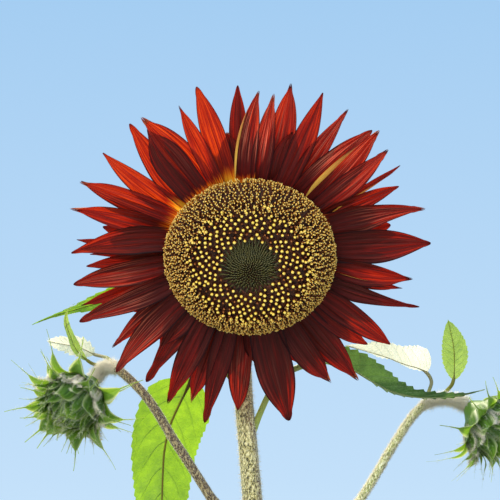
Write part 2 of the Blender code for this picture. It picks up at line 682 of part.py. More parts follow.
def build_leaf(name, line, edges, half, widest, blade, petiole, thickness, seat,
               taper=LEAF_TAPER, fold=LEAF_FOLD):
    """A leaf on one line: a petiole with six sides that runs out as the blade's midrib."""
    rings = []
    ways = tangents(line)
    for n, (point, way) in enumerate(zip(line, ways)):
        t = n / (len(line) - 1)
        across = (edges[n] - way * edges[n].dot(way)).normalized()
        top = across.cross(way)
        on_blade = max(0.0, (t - blade) / (1 - blade))
        wide = petiole
        if on_blade > 0:
            wide = max(petiole * (1 - on_blade), blade_half_width(on_blade, half, widest, taper))
        rise = fold * max(0, wide - petiole)
        up = max(thickness / 2, petiole * (1 - on_blade) * 0.9)
        if on_blade > 0.6:
            up *= 1.15 - 0.9 * (on_blade - 0.6)
        rings.append([
            point + across * wide + top * rise,
            point + across * wide * 0.5 + top * (up + rise * 0.4),
            point + top * up * 0.95,
            point - across * wide * 0.5 + top * (up + rise * 0.4),
            point - across * wide + top * rise,
            point - top * up,
        ])
    rings[0] = cut_ring(rings[0], ways[0], seat)
    closed(name, rings, LEAF_FINISH)


def near_leaf(name, spec, limbs):
    """A leaf by the head, whose midrib is given."""
    limb = limbs[spec["on"]]
    where = limb.at_height(spec["at"]) if spec["on"] == "main" else limb.at_share(spec["at"])
    knots = [near_head(*k) for k in spec["line"]]
    seat = limb.seat(where, knots[0])
    foot = seat[0] + seat[1] * LEAF_FOOT * spec["petiole"] * MM
    line = even(curve([seat[0], foot, *knots], CURVE_SPANS), LEAF_STEPS)
    edge = way_near_head(*spec["edge"])
    length = sum((b - a).length for a, b in zip(line, line[1:])) * (1 - spec["blade"])
    build_leaf(name, line, [edge] * len(line), spec["half"] * MM, spec["widest"], spec["blade"],
               spec["petiole"] * MM, length * LEAF_THICKNESS_SHARE, seat,
               spec["taper"], spec.get("fold", LEAF_FOLD))


def stem_leaf(name, limb, height, turn, blade_length, draw):
    """A leaf down the stem: its petiole rises, and its blade arches over and hangs."""
    out = Vector((math.cos(turn), math.sin(turn), 0))
    edge = Vector((math.sin(turn), -math.cos(turn), 0))
    where = limb.at_height(height)
    seat = limb.seat(where, where[0] + out)
    petiole_length = blade_length * PETIOLE_SHARE
    total = petiole_length + blade_length
    steps = STEM_LEAF_STEPS
    near_top = min(1, (HEAD_FOOT_HEIGHT - height) / TOP_LEAVES_FLATTEN)
    rise = math.radians(draw.uniform(*LEAF_RISE) * near_top)
    fall = math.radians(draw.uniform(*LEAF_FALL))
    line = [seat[0]]
    for n in range(steps):
        t = (n + 0.5) / steps
        slope = rise - fall * t ** LEAF_FALL_POWER
        line.append(line[-1] + (out * math.cos(slope) + Vector((0, 0, math.sin(slope))))
                    * total / steps)
    roll = math.radians(draw.uniform(-LEAF_ROLL, LEAF_ROLL))
    edges = [edge + Vector((0, 0, math.sin(roll) * n / steps)) for n in range(steps + 1)]
    petiole = THINNEST_PETIOLE + PETIOLE_SHARE_WIDE * blade_length
    build_leaf(name, line, edges, blade_length * BLADE_SHARE_WIDE, BLADE_WIDEST,
               petiole_length / total, petiole, blade_length * LEAF_THICKNESS_SHARE, seat)


def blade_length_at(share):
    """Blade lengths grow from the foot to the middle of the stem and shrink again to the top."""
    if share < 0.4:
        return BLADE_AT_FOOT + (BLADE_AT_MIDDLE - BLADE_AT_FOOT) * math.sin(share / 0.4 * math.pi / 2)
    return BLADE_AT_MIDDLE + (BLADE_AT_TOP - BLADE_AT_MIDDLE) * ((share - 0.4) / 0.6) ** 1.3


def build_leaves(limbs):
    for name, spec in NEAR_LEAVES.items():
        near_leaf(name, spec, limbs)
    draw = random.Random(SEED + 2)
    for n in range(LEAF_COUNT):
        share = n / (LEAF_COUNT - 1)
        height = LOWEST_LEAF + (HIGHEST_LEAF - LOWEST_LEAF) * share
        turn = LAST_LEAF_TURN - LEAF_TURN * (LEAF_COUNT - 1 - n)
        stem_leaf(f"stem_leaf_{n + 1:02d}", limbs["main"], height, turn, blade_length_at(share), draw)


# ---------------------------------------------------------------- the plant


def main():
    for piece in list(bpy.data.objects):
        bpy.data.objects.remove(piece)
    buds = {}
    for name, spec in (("left", LEFT_BUD), ("right", RIGHT_BUD)):
        buds[name] = facing_frame(near_head(*spec["middle"]), way_near_head(*spec["faces"]))
    main_limb = main_stem_limb()
    build_main_stem(main_limb)
    limbs = dict(
        main=main_limb,
        left=side_stem("left", LEFT_STEM, main_limb, buds["left"]),
        right=side_stem("right", RIGHT_STEM, main_limb, buds["right"]),
    )
    build_rays()
    build_disc()
    build_receptacle()
    build_bud("left_bud", buds["left"], SEED + 3)
    build_bud("right_bud", buds["right"], SEED + 4)
    build_leaves(limbs)


main()
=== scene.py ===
"""A red sunflower plant in flower, seen from a little below against a pale blue studio sky.

Metres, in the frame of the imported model. The head, buds, stems and leaves are grown again here by
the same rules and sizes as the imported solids, in finer steps, and replace them.
"""

import math
import random
from math import cos, pi, radians, sin, tau

import bpy
import numpy as np
from mathutils import Matrix, Vector


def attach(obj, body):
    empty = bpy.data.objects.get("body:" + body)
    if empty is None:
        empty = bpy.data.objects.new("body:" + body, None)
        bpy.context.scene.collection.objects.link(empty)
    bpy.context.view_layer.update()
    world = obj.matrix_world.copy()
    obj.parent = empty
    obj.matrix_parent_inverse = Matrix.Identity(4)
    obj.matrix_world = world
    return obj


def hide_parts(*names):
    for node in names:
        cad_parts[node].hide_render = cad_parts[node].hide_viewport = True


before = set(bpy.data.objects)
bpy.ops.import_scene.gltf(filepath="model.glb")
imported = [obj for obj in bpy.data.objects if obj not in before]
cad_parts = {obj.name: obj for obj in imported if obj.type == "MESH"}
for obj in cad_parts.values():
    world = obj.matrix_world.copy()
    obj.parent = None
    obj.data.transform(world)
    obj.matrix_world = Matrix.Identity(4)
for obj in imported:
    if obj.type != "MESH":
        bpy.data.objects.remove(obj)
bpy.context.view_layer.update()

MM = 0.001
CLEAR = 0.3 * MM
SEED = 21

# ---------------- sizes, as in the solids

HEAD_CENTRE = Vector((-4, -57.5, 1120)) * MM
HEAD_DIP = radians(33)
DISC_RADIUS = 38.5 * MM
DISC_HEIGHT = 12.5 * MM
DISC_HOLLOW = 2.8 * MM
DISC_UNDERCUT = -1.1 * MM
# The dome between its middle and its rim, as shares of its radius and height.
DISC_OUTLINE = (
    (0.24, 0.84), (0.38, 0.99), (0.54, 1.0), (0.70, 0.93), (0.87, 0.74), (0.987, 0.44),
    (1.02, 0.12),
)
RECEPTACLE_RADIUS = 36 * MM
RECEPTACLE_DEPTH = 22 * MM
RECEPTACLE_FACE = -6 * MM
# Each ray: the angle of its tip, its reach beyond the rim, its width, the angle of its root, and
# its layer, front to back. Then, where they aren't the usual ones, its looks: how much painted
# shade it has, how late its outline draws in, how strong the painted highlights on its folds are,
# how far an edge turns over to the front (positive is the edge on the side of growing angles) and
# from where, and how far out from its root painted shadow reaches (None: by its angle).
USUAL_LOOKS = (0.7, 2.7, 0.06, 0, 0.30, None)
RAYS = (
    (3, 43, 18, 4, 0, 0.85, 2.2), (15, 43, 16.5, 22.5, 0, 0.75, 1.25, 0.4, 0.9),
    (25, 35, 9, 27, 2, 0.5, 2.6), (31, 40, 5, 28.5, 1, 0.6, 2.2, 0.06, -2.9),
    (38, 40, 11, 35.5, 1, 0.4, 2, 0.3), (45, 43, 12, 41.5, 1, 0.45, 2.3, 0.8),
    (48, 42, 13, 53, 0, 0.5, 2.1, 1, -2.8, 0.42), (57, 42, 10, 59.5, 1, 0.55, 1.6, 0.7),
    (67, 44, 11, 65.5, 0, 0.4, 2.1), (77, 43, 12.5, 75, 1, 0.35, 2.5, 0.3),
    (82, 38, 10, 84, 0, 0.5, 2, 1), (87, 39, 12.5, 94.5, 0, 0.5, 1.9, 1, 2.8, 0.62),
    (94, 40, 9, 96, 2, 0.75, 2.5), (107, 43, 11, 105.5, 1, 0, 2.6),
    (114, 39, 8.5, 113, 0, 0.05, 2.3), (127, 42, 14, 121.5, 1, 0.05, 2.7, 0.06, 0.8),
    (128, 36, 16.5, 129, 0, 0.75, 3, 0.06, 0, 0.3, 0.8), (132, 42, 13, 137, 2, 0.1, 1.9),
    (145, 42, 11, 147.5, 1, 0.05, 2.1), (156, 45, 10, 152.5, 0, 0.1, 2.7, 0.06, 0.8),
    (158, 44, 9, 158, 2), (165, 45, 12, 163, 1, 0.3, 2.2), (177, 40, 6, 177.5, 2, 0.6),
    (180, 42, 15, 169, 0, 0.5, 1.6), (182, 34, 7, 180.5, 1, 1, 1.8), (186, 36, 9, 184, 2, 0.6, 2.6),
    (191, 43, 13.5, 189, 0, 0.7, 2.7, 0.4), (200, 44, 7, 199, 2, 0.8),
    (203, 46, 14.5, 201.5, 0, 0.8, 1.8, 0.6, -0.5), (217, 41, 10, 211.5, 1, 0.75, 1.7, 0.6),
    (223, 46, 14, 217, 0, 0.7, 1.8, 0.5, -0.5), (234, 43, 12.5, 230, 1, 0.95, 1.15),
    (243, 46, 12.5, 240, 0, 0.85, 1.9), (250, 42, 10, 248.5, 1, 0.65, 3.4),
    (256, 49, 12, 255, 0, 0.95, 1.6), (266, 43, 13, 266, 1, 0.6, 2.7, 0.2, 1),
    (282, 49, 19, 280.5, 0, 0.9, 2.2), (300, 37, 13, 295, 1, 1, 3.2),
    (308, 43, 14.5, 306.5, 0, 0.9, 2.2), (319, 33, 9.5, 316.5, 1, 0.45, 3),
    (325, 40, 12.5, 326.5, 0, 0.6, 2.8), (337, 33, 7, 333, 2, 0.5, 2.7, 0.4, -2.8),
    (341, 43, 9.5, 337, 0, 1, 1.1), (344, 34, 7, 343, 1, 0.7, 2.7, 0.06, 1.5),
    (349, 37, 13.5, 349, 1, 0.55, 2.2), (358, 27, 8, 356.5, 2, 0.6), (209, 25, 13, 209, 2),
    (229, 25, 13, 226, 2), (247, 25, 12, 246, 2), (261, 24, 12, 262, 2), (275, 21, 14, 274, 2),
    (292, 24, 13, 290, 2), (315, 21, 12, 314, 2), (10, 26, 13, 12, 2), (72, 22, 12, 71, 2),
    (100, 20, 12, 101, 2), (172, 29, 13, 172, 2),
)
RAY_ROOT = 34 * MM
RAY_LAYERS = (-2.9 * MM, -3.7 * MM, -4.5 * MM)
RAY_LEAN = radians(8)
HEAD_BRACTS = 26
HEAD_BRACT_LENGTH = 25 * MM
HEAD_BRACT_WIDTH = 14 * MM
HEAD_BRACT_LEAN = radians(24)
LOOK_UP = radians(6)
# The stems' points with their radii, in millimetres: the main one's in the plant's frame, the
# side ones' in the frame by the head.
MAIN_STEM = (
    (0, 0, 0, 14.0), (0.5, 0, 28, 12.2), (3, -1, 120, 11.4), (8, -2, 300, 10.2), (11, -3, 500, 8.8),
    (10, -2, 700, 7.2), (7, -1, 850, 5.9), (2, 0, 950, 5.0), (-2.8, 0, 1011, 4.5),
    (-7.1, 0, 1060, 4.2), (-8.3, 0, 1095, 4.2),
)
NECK_BEND = 22 * MM
NECK_END_RADIUS = 6.5 * MM
NECK_STEPS = 6
MAIN_STEM_STEPS = 44
LEFT_STEM = (
    (2, -139, 44, 2.6), (-8, -124, 40, 2.4), (-17.3, -113.5, 36, 2.3), (-23.2, -104.3, 35, 2.2),
    (-35, -86, 34, 2.1), (-46.5, -67.6, 34, 2.0), (-57, -56.5, 35.5, 2.0), (-63.5, -52.2, 40, 2.1),
    (-68.6, -52.8, 45, 2.3), (-72.9, -58.3, 42.5, 2.6),
)
RIGHT_STEM = (
    (6, -177, 40, 2.4), (24, -149, 43, 2.1), (51, -115, 46, 1.85), (66.8, -89.5, 48, 1.75),
    (76.5, -75, 48, 1.75), (84.5, -68.6, 47, 1.8), (92.5, -67.3, 46, 2.1), (99.5, -71.5, 45, 2.7),
)
# Each bud's middle and the way it faces, in the frame by the head.
BUDS = dict(left=((-80.5, -67.5, 33), (-0.50, -0.60, -0.62)),
            right=((112.5, -79.5, 42), (0.72, -0.62, -0.3)))
BUD_RADIUS = 13.6 * MM
BUD_HALF_LENGTH = 12.0 * MM
BUD_NECK = 3.0 * MM
BUD_BRACT_WIDTH = 12.5 * MM
# Rings of bracts: their count and length, where they start and how far they flare out in
# degrees, and their width as a share. The first four are the solid's; the finer ones stand
# between and inside these.
BUD_RINGS = (
    (7, 29, 34, 84, 1.0), (7, 29, 58, 76, 1.0), (7, 26, 82, 68, 1.0), (6, 20, 106, 52, 1.0),
    (6, 24, 42, 82, 1.0), (6, 23, 68, 78, 1.0), (9, 21, 74, 48, 0.5), (9, 19, 94, 40, 0.5),
    (9, 15, 112, 32, 0.45), (6, 13, 130, 30, 0.7), (5, 11, 145, 20, 0.8), (4, 8, 158, 10, 1.0),
)
BUD_SOLID_RINGS = 4
BUD_BRACT_LIES = 0.2
BUD_BRACT_TURNS = 0.4
BUD_BRACT_LIFT = radians(7)
BUD_BRACT_BODY = 0.66
LEAF_TAPER = 0.95
LEAF_FOLD = 0.14
LEAF_FOOT = 1.6
# Each leaf near the head: its stem; the place on it, as a height on the main stem or a share of a
# side stem; its points and the way to one edge, in the frame by the head; half its width; where it
# is widest and where its blade starts, as shares; its petiole's radius; taper; fold; the teeth of
# an edge and their depth as a share of half the width; and its look.
NEAR_LEAVES = dict(
    hanging_leaf=(
        "main", 1.068, ((-20, -48, 60), (-28.5, -61, 65), (-35, -74, 67), (-39.8, -87, 67),
                        (-41.3, -102, 66), (-41.8, -116, 64), (-42.8, -162, 58)),
        (1, 0.05, 0.15), 17.3, 0.16, 0.22, 1.5, 0.85, LEAF_FOLD, 25, 0.06, "bright"),
    right_leaf=(
        "main", 1.044, ((3.2, -78.6, 51.5), (5.0, -74, 50.5), (8, -66.5, 49), (18.7, -54.2, 45),
                        (38, -50, 42), (54, -57.8, 40), (65, -63.4, 38), (78.5, -66.2, 36),
                        (95, -65.5, 35), (108.8, -62.6, 35)),
        (0.25, -0.62, 0.74), 11.5, 0.28, 0.34, 1.5, 1.7, -0.5, 18, 0.26, "dull"),
    upper_left_leaf=(
        "main", 1.085, ((-30, -13, 53), (-47, -16.5, 53), (-62, -20.5, 49), (-72.5, -23, 46),
                        (-81, -25.5, 44), (-90, -28, 41), (-101.5, -32.5, 40)),
        (0.1, 0.8, 0.55), 7.0, 0.42, 0.30, 1.2, 1.7, LEAF_FOLD, 14, 0.10, "bright"),
    pale_leaf=(
        "right", 0.885, ((85.1, -60.8, 47), (83.4, -56, 48), (79.5, -53.2, 48.5),
                         (72, -51, 49.5), (62, -47.2, 51.5), (45, -42.5, 56)),
        (-0.2, -0.5, 0.84), 10.2, 0.13, 0.24, 0.9, 1.0, 0.5, 17, 0.12, "pale"),
    upright_leaf=(
        "right", 0.935, ((92, -63.6, 46), (94.8, -59.4, 45), (95.4, -51.4, 44),
                         (94.9, -42.5, 43), (92.2, -30, 42)),
        (0.97, 0.1, 0.2), 6.6, 0.46, 0.22, 0.9, 0.9, LEAF_FOLD, 13, 0.09, "soft"),
    bud_leaf=(
        "left", 0.95, ((-74.2, -50.5, 44), (-80.4, -44.5, 40), (-83.6, -37, 38), (-85.4, -31, 37),
                       (-84.7, -25.6, 37), (-81.2, -22.6, 38)),
        (0.6, 0.2, 0.78), 3.0, 0.35, 0.14, 0.8, 1.2, LEAF_FOLD, 9, 0.08, "soft"),
    small_leaf=(
        "left", 0.91, ((-73.6, -46.5, 50), (-77.5, -44.5, 52), (-83.5, -42.8, 53),
                       (-89.1, -41.8, 53), (-95.4, -40.4, 51)),
        (0.5, 0.75, 0.4), 5.4, 0.40, 0.30, 0.8, 0.8, LEAF_FOLD, 8, 0.26, "pale"),
)
LOWEST_LEAF = 0.11
HIGHEST_LEAF = 0.93
LEAF_COUNT = 18
LEAF_TURN = radians(137.5)
LAST_LEAF_TURN = radians(-4)
BLADE_AT_FOOT = 0.135
BLADE_AT_MIDDLE = 0.215
BLADE_AT_TOP = 0.100
LONGEST_BLADE_AT = 0.4
PETIOLE_SHARE = 0.45
BLADE_SHARE_WIDE = 0.36
BLADE_WIDEST = 0.27
STEM_LEAF_TEETH = 26
STEM_LEAF_BITE = 0.06

# ---------------- frames and curves

CURVE_SPANS = 8


def way_near_head(right, up, back):
    """A way given as right, up and back seen by the camera, which looks up at the head."""
    sine, cosine = sin(LOOK_UP), cos(LOOK_UP)
    return Vector((right, back * cosine - up * sine, up * cosine + back * sine))


def near_head(right, up, back):
    """A point given in millimetres in that frame by the head, from the head's centre."""
    return HEAD_CENTRE + way_near_head(right, up, back) * MM


def facing_frame(centre, facing):
    """A frame at a centre, with +Z the way it faces, +X level and +Y up."""
    z = Vector(facing).normalized()
    x = Vector((0, 0, 1)).cross(z).normalized()
    y = z.cross(x)
    way = Matrix((x, y, z)).transposed().to_4x4()
    way.translation = centre
    return way


HEAD = facing_frame(HEAD_CENTRE, (0, -cos(HEAD_DIP), -sin(HEAD_DIP)))


def smooth_line(knots, count):
    """Evenly spread points, one more than count, along a smooth curve through the knots."""
    knots = [Vector(k) for k in knots]
    line = []
    for i, (a, b) in enumerate(zip(knots, knots[1:])):
        before = knots[i - 1] if i else a * 2 - b
        after = knots[i + 2] if i + 2 < len(knots) else b * 2 - a
        for step in range(CURVE_SPANS):
            t = step / CURVE_SPANS
            line.append(
                0.5 * (2 * a + (b - before) * t + (2 * before - 5 * a + 4 * b - after) * t * t
                       + (3 * a - before - 3 * b + after) * t ** 3))
    line.append(knots[-1])
    lengths = [0.0]
    for a, b in zip(line, line[1:]):
        lengths.append(lengths[-1] + (b - a).length)
    spread = []
    i = 0
    for step in range(count + 1):
        want = lengths[-1] * step / count
        while i < len(line) - 2 and lengths[i + 1] < want:
            i += 1
        share = (want - lengths[i]) / max(lengths[i + 1] - lengths[i], 1e-9)
        spread.append(line[i].lerp(line[i + 1], share))
    return spread


def unit(vectors):
    return vectors / np.maximum(np.linalg.norm(vectors, axis=-1, keepdims=True), 1e-12)


def ways_of(points):
    """Unit tangents along an array of points."""
    return unit(np.gradient(points, axis=0))


def moved(way, points):
    """Points of any shape (..., 3), given in a frame, in the world."""
    way = np.array(way)
    return points @ way[:3, :3].T + way[:3, 3]


def smooth(t):
    t = np.clip(t, 0, 1)
    return t * t * (3 - 2 * t)


def stacked(*parts):
    """Arrays that fit one grid, as the last axis of one array."""
    return np.stack(np.broadcast_arrays(*parts), -1)


def sides_of(line, edge):
    """Unit vectors across a line to an edge, and out of the top of a blade along it."""
    ways = ways_of(line)
    across = unit(edge - ways * (edge * ways).sum(1)[:, None])
    return across, np.cross(across, ways)


def off_line(line, across, top, y, z):
    """A grid of points that stand off those of a line, by y across it and z out of its top."""
    return line[:, None] + across[:, None] * y[..., None] + top[:, None] * z[..., None]


def between(rows, place):
    """Values between the rows of an array, at places counted in rows."""
    low = np.minimum(place.astype(int), len(rows) - 2)
    part = (place - low)[:, None]
    return rows[low] * (1 - part) + rows[low + 1] * part


# ---------------- meshes

CELL_GAP = 0.03
OWN_STEP = 0.004


def linked(name, data):
    """A new object in the scene."""
    shape = bpy.data.objects.new(name, data)
    bpy.context.scene.collection.objects.link(shape)
    return shape


class Heap:
    """Points and faces of many shapes that become one object. Marks are numbers per point."""

    def __init__(self):
        self.points, self.faces, self.uv, self.marks, self.count = [], [], [], {}, 0

    def add(self, points, faces, uv, **marks):
        points = np.asarray(points, float)
        for key, values in marks.items():
            values = np.broadcast_to(np.asarray(values, float), points.shape[:-1]).ravel()
            self.marks.setdefault(key, []).append(values)
        self.points.append(points.reshape(-1, 3))
        self.faces += (np.asarray(faces, int) + self.count).tolist()
        self.uv.append(np.asarray(uv, float).reshape(-1, 2))
        self.count += len(self.points[-1])

    def piece(self, name, finish, slot, replaces=()):
        mesh = bpy.data.meshes.new(name)
        mesh.from_pydata(np.concatenate(self.points).tolist(), [], self.faces)
        corners = np.empty(len(mesh.loops), np.int32)
        mesh.loops.foreach_get("vertex_index", corners)
        layer = mesh.uv_layers.new(name="OFBake")
        layer.data.foreach_set("uv", np.concatenate(self.uv)[corners].ravel())
        for key, parts in self.marks.items():
            mark = mesh.attributes.new(key, "FLOAT", "POINT")
            mark.data.foreach_set("value", np.concatenate(parts))
        mesh.shade_smooth()
        mesh.materials.append(finish)
        shape = linked(name, mesh)
        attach(shape, "root")
        if replaces:
            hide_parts(*replaces)


def grid_faces(rows, columns, wrap=False):
    """Quads of a grid of points, row after row; wrapped, its last column meets its first."""
    r, c = np.meshgrid(np.arange(rows - 1), np.arange(columns - (0 if wrap else 1)), indexing="ij")
    here, below, after = r * columns, (r + 1) * columns, (c + 1) % columns
    return np.stack([here + c, here + after, below + after, below + c], -1).reshape(-1, 4)


def cell(number, count, u, v):
    """A place u, v (0 to 1) inside one cell of a square map cut into at least count cells."""
    side = math.ceil(math.sqrt(count))
    row, column = divmod(number, side)
    return stacked((column + CELL_GAP + (1 - 2 * CELL_GAP) * u) / side,
                   (row + CELL_GAP + (1 - 2 * CELL_GAP) * v) / side)


def turns_of(sides):
    return np.arange(sides) / sides * tau


def tube(points, radii, sides, side=None):
    """Rings round a line: an array (rings, sides, 3). A ring has one radius, or one per side."""
    ways = ways_of(points)
    side = np.array(Vector(ways[0]).orthogonal() if side is None else side)
    turns = turns_of(sides)
    rings = np.empty((len(points), sides, 3))
    for n, (point, way, radius) in enumerate(zip(points, ways, radii)):
        side = side - way * side.dot(way)
        side /= np.linalg.norm(side)
        rings[n] = point + (np.cos(turns) * radius)[:, None] * side \
            + (np.sin(turns) * radius)[:, None] * np.cross(way, side)
    return rings


def turned(line, seams, ripple=1.0):
    """A line of (radius, height) turned about +Z: a grid of points, with u and v over it."""
    turns = np.linspace(0, tau, seams)
    radius = line[:, None, 0] * ripple
    points = stacked(radius * np.cos(turns), radius * np.sin(turns), line[:, None, 1])
    return points, turns / tau, np.linspace(0, 1, len(line))[:, None]


def copies(heap, shape, origins, xs, ys, zs, sizes, own):
    """Puts a small shape at many places, turned and sized; own is the number of each copy."""
    points, faces, along = shape
    scaled = points[None] * sizes[:, None, None]
    placed = (origins[:, None] + scaled[..., 0:1] * xs[:, None] + scaled[..., 1:2] * ys[:, None]
              + scaled[..., 2:3] * zs[:, None])
    firsts = (heap.count + np.arange(len(origins)) * len(points))[:, None, None]
    offset = np.arange(len(points)) % 2 * OWN_STEP
    heap.add(placed, [], stacked(own[:, None] * (1 - 2 * OWN_STEP) + offset, along))
    for sides in (4, 3):
        some = np.array([f for f in faces if len(f) == sides], int).reshape(-1, sides)
        heap.faces += (some + firsts).reshape(-1, sides).tolist()


# ---------------- finishes


def srgb(code):
    """A colour code such as #a0d020 as linear red, green and blue."""
    values = [int(code[i:i + 2], 16) / 255 for i in (1, 3, 5)]
    return tuple(v / 12.92 if v < 0.04045 else ((v + 0.055) / 1.055) ** 2.4 for v in values)


def set_stops(ramp, stops):
    """Fills a colour ramp from a row of places, each followed by a colour code or a grey."""
    while len(ramp.elements) < len(stops) // 2:
        ramp.elements.new(1.0)
    for element, place, code in zip(ramp.elements, stops[::2], stops[1::2]):
        element.position = place
        element.color = (*srgb(code), 1) if isinstance(code, str) else (code, code, code, 1)


class Value:
    """An output of a node. + - * / and abs() make Math nodes of it."""

    def __init__(self, finish, socket):
        self.finish, self.socket = finish, socket

    def math(self, operation, other=0.0, clamp=False):
        settings = dict(operation=operation, use_clamp=clamp)
        return self.finish.out("Math", 0, settings, i0=self, i1=other)

    def __add__(self, other):
        return self.math("ADD", other)

    def __sub__(self, other):
        return self.math("SUBTRACT", other)

    def __mul__(self, other):
        return self.math("MULTIPLY", other)

    def __truediv__(self, other):
        return self.math("DIVIDE", other)

    def __abs__(self):
        return self.math("ABSOLUTE")


class Finish:
    """A material of nodes. An input may be a colour code, a number or another node's Value."""

    def __init__(self, name):
        self.material = bpy.data.materials.new(name)
        self.material.use_nodes = True
        self.tree = self.material.node_tree
        self.tree.nodes.clear()
        self.output = self.tree.nodes.new("ShaderNodeOutputMaterial")

    def out(self, kind, output=0, settings=None, **inputs):
        """An output of a new node. Its inputs go by name, or by number as i0, i1 and i2."""
        node = self.tree.nodes.new("ShaderNode" + kind)
        for key, value in (settings or {}).items():
            setattr(node, key, value)
        for key, value in inputs.items():
            numbered = key in ("i0", "i1", "i2")
            socket = node.inputs[int(key[1]) if numbered else key.replace("_", " ")]
            if isinstance(value, Value):
                self.tree.links.new(value.socket, socket)
            else:
                socket.default_value = (*srgb(value), 1) if isinstance(value, str) else value
        return Value(self, node.outputs[output])

    def marks(self, names):
        return [self.out("Attribute", "Fac", dict(attribute_name=n)) for n in names.split()]

    def mix(self, share, a, b):
        return self.out("MixRGB", Fac=share, Color1=a, Color2=b)

    def ramp(self, value, *stops):
        done = self.out("ValToRGB", "Color", Fac=value)
        set_stops(done.socket.node.color_ramp, stops)
        return done

    def noise(self, scale, detail, where, roughness=0.5):
        return self.out("TexNoise", "Fac", Scale=scale, Detail=detail, Roughness=roughness,
                        Vector=where)

    def geometry(self, output):
        return self.out("NewGeometry", output)

    def bake_uv(self):
        return self.out("UVMap", "UV", dict(uv_map="OFBake"))

    def part(self, vector, axis):
        return self.out("SeparateXYZ", axis, Vector=vector)

    def scaled(self, where, x, y, z):
        return self.out("Mapping", Vector=where, Scale=(x, y, z))

    def joined(self, x, y, z):
        return self.out("CombineXYZ", X=x, Y=y, Z=z)

    def bump(self, height, strength, distance):
        return self.out("Bump", Height=height, Strength=strength, Distance=distance)

    def surface(self, colour, roughness, normal=None, through=None, share=0.0, sheen=0.0,
                specular=0.5):
        """The shader; light comes through a share of it in the colour given for that."""
        relief = {} if normal is None else dict(Normal=normal)
        shader = self.out("BsdfPrincipled", Base_Color=colour, Roughness=roughness,
                          Sheen_Weight=sheen, Specular_IOR_Level=specular, **relief)
        if through is not None:
            glow = self.out("BsdfTranslucent", Color=through, **relief)
            shader = self.out("MixShader", i0=share, i1=shader, i2=glow)
        self.tree.links.new(shader.socket, self.output.inputs["Surface"])
        return self.material


def petal_finish():
    """A ray: maroon at its root, which has painted shadow, and in streaks; painted shade by ray;
    redder and see-through outward, dark at edges.
    """
    f = Finish("petal_red")
    along, across, own, yolk, shade, folds, deep = f.marks("along across own yolk shade folds deep")
    streaks = f.noise(1, 4, f.joined(along * 2, across * 8, own * 60), 0.62)
    fine = f.noise(1, 3, f.joined(along * 1.3, across * 13, own * 130), 0.6)
    edge = abs(across)
    # Painted shade by ray, a painted shadow at its root up to a streaky border, and painted light
    # on the edges farther out.
    shadow_border = along - deep + (streaks - 0.5) * 0.9
    painted_root_shadow = f.ramp(shadow_border + 0.5, 0.45, 1, 0.58, 0)
    # painted light that comes through the edges of the outer part
    painted_edge_light = f.ramp(edge, 0.35, 0, 0.85, 1) * f.ramp(along, 0.45, 0, 0.8, 1)
    # the streaks, less painted shade and painted root shadow, plus painted light on the edges
    tone = streaks - shade * 0.30 - painted_root_shadow * 0.09 + painted_edge_light * shade * 0.14 + 0.08
    body = f.ramp(tone, 0.12, "#481614", 0.28, "#581614", 0.42, "#681410", 0.56, "#7a160c",
                  0.76, "#a8280e")
    glow = f.ramp(tone, 0.12, "#2c0404", 0.28, "#480404", 0.42, "#780c04", 0.56, "#b82204",
                  0.74, "#ff5a0c")
    # Greyish ribs, and painted highlights on the folds.
    body = f.mix(f.ramp(fine, 0.60, 0, 0.72, 0.30), body, "#644240")
    # painted highlight on the folds, by how much each ray's folds have
    ridge = f.ramp(fine, 0.52, 0, 0.60, 1) * folds * f.ramp(along, 0.25, 0, 0.5, 1)
    body = f.mix(ridge, body, "#f08468")
    rim = f.ramp(edge, 0.86, 0, 0.97, 0.95).math("MAXIMUM", f.ramp(along, 0.955, 0, 1, 0.85))
    body = f.mix(rim, body, "#1e0810")
    # Streaks of yellow run out from the root.
    tongue = along + (streaks - 0.5) * 0.34
    root = f.ramp(tongue / (yolk + 0.01), 0.35, 1, 1, 0)
    heat = tongue + 0.13 - yolk * 0.85
    flame = f.ramp(heat, 0.03, "#ffbc2c", 0.09, "#ff8818", 0.16, "#ec4c0c", 0.26, "#a8200c")
    front = f.mix(root, body, flame)
    # The underside is paler and more orange.
    back = f.ramp(streaks, 0.3, "#b84c30", 0.55, "#d87848", 0.8, "#f0b068")
    back = f.mix(rim, back, "#8a3020")
    back = f.mix(f.ramp(along, 0.35, 1, 0.8, 0), back, "#f4bc50")
    behind = f.geometry("Backfacing")
    colour = f.mix(behind, front, back)
    glow = f.mix(root, glow, flame)
    glow = f.mix(behind, glow, back)
    glow = f.mix(rim, glow, "#300408")
    return f.surface(colour, 0.55, f.bump(fine, 0.7, 0.0005), glow, 0.40, specular=0.18)


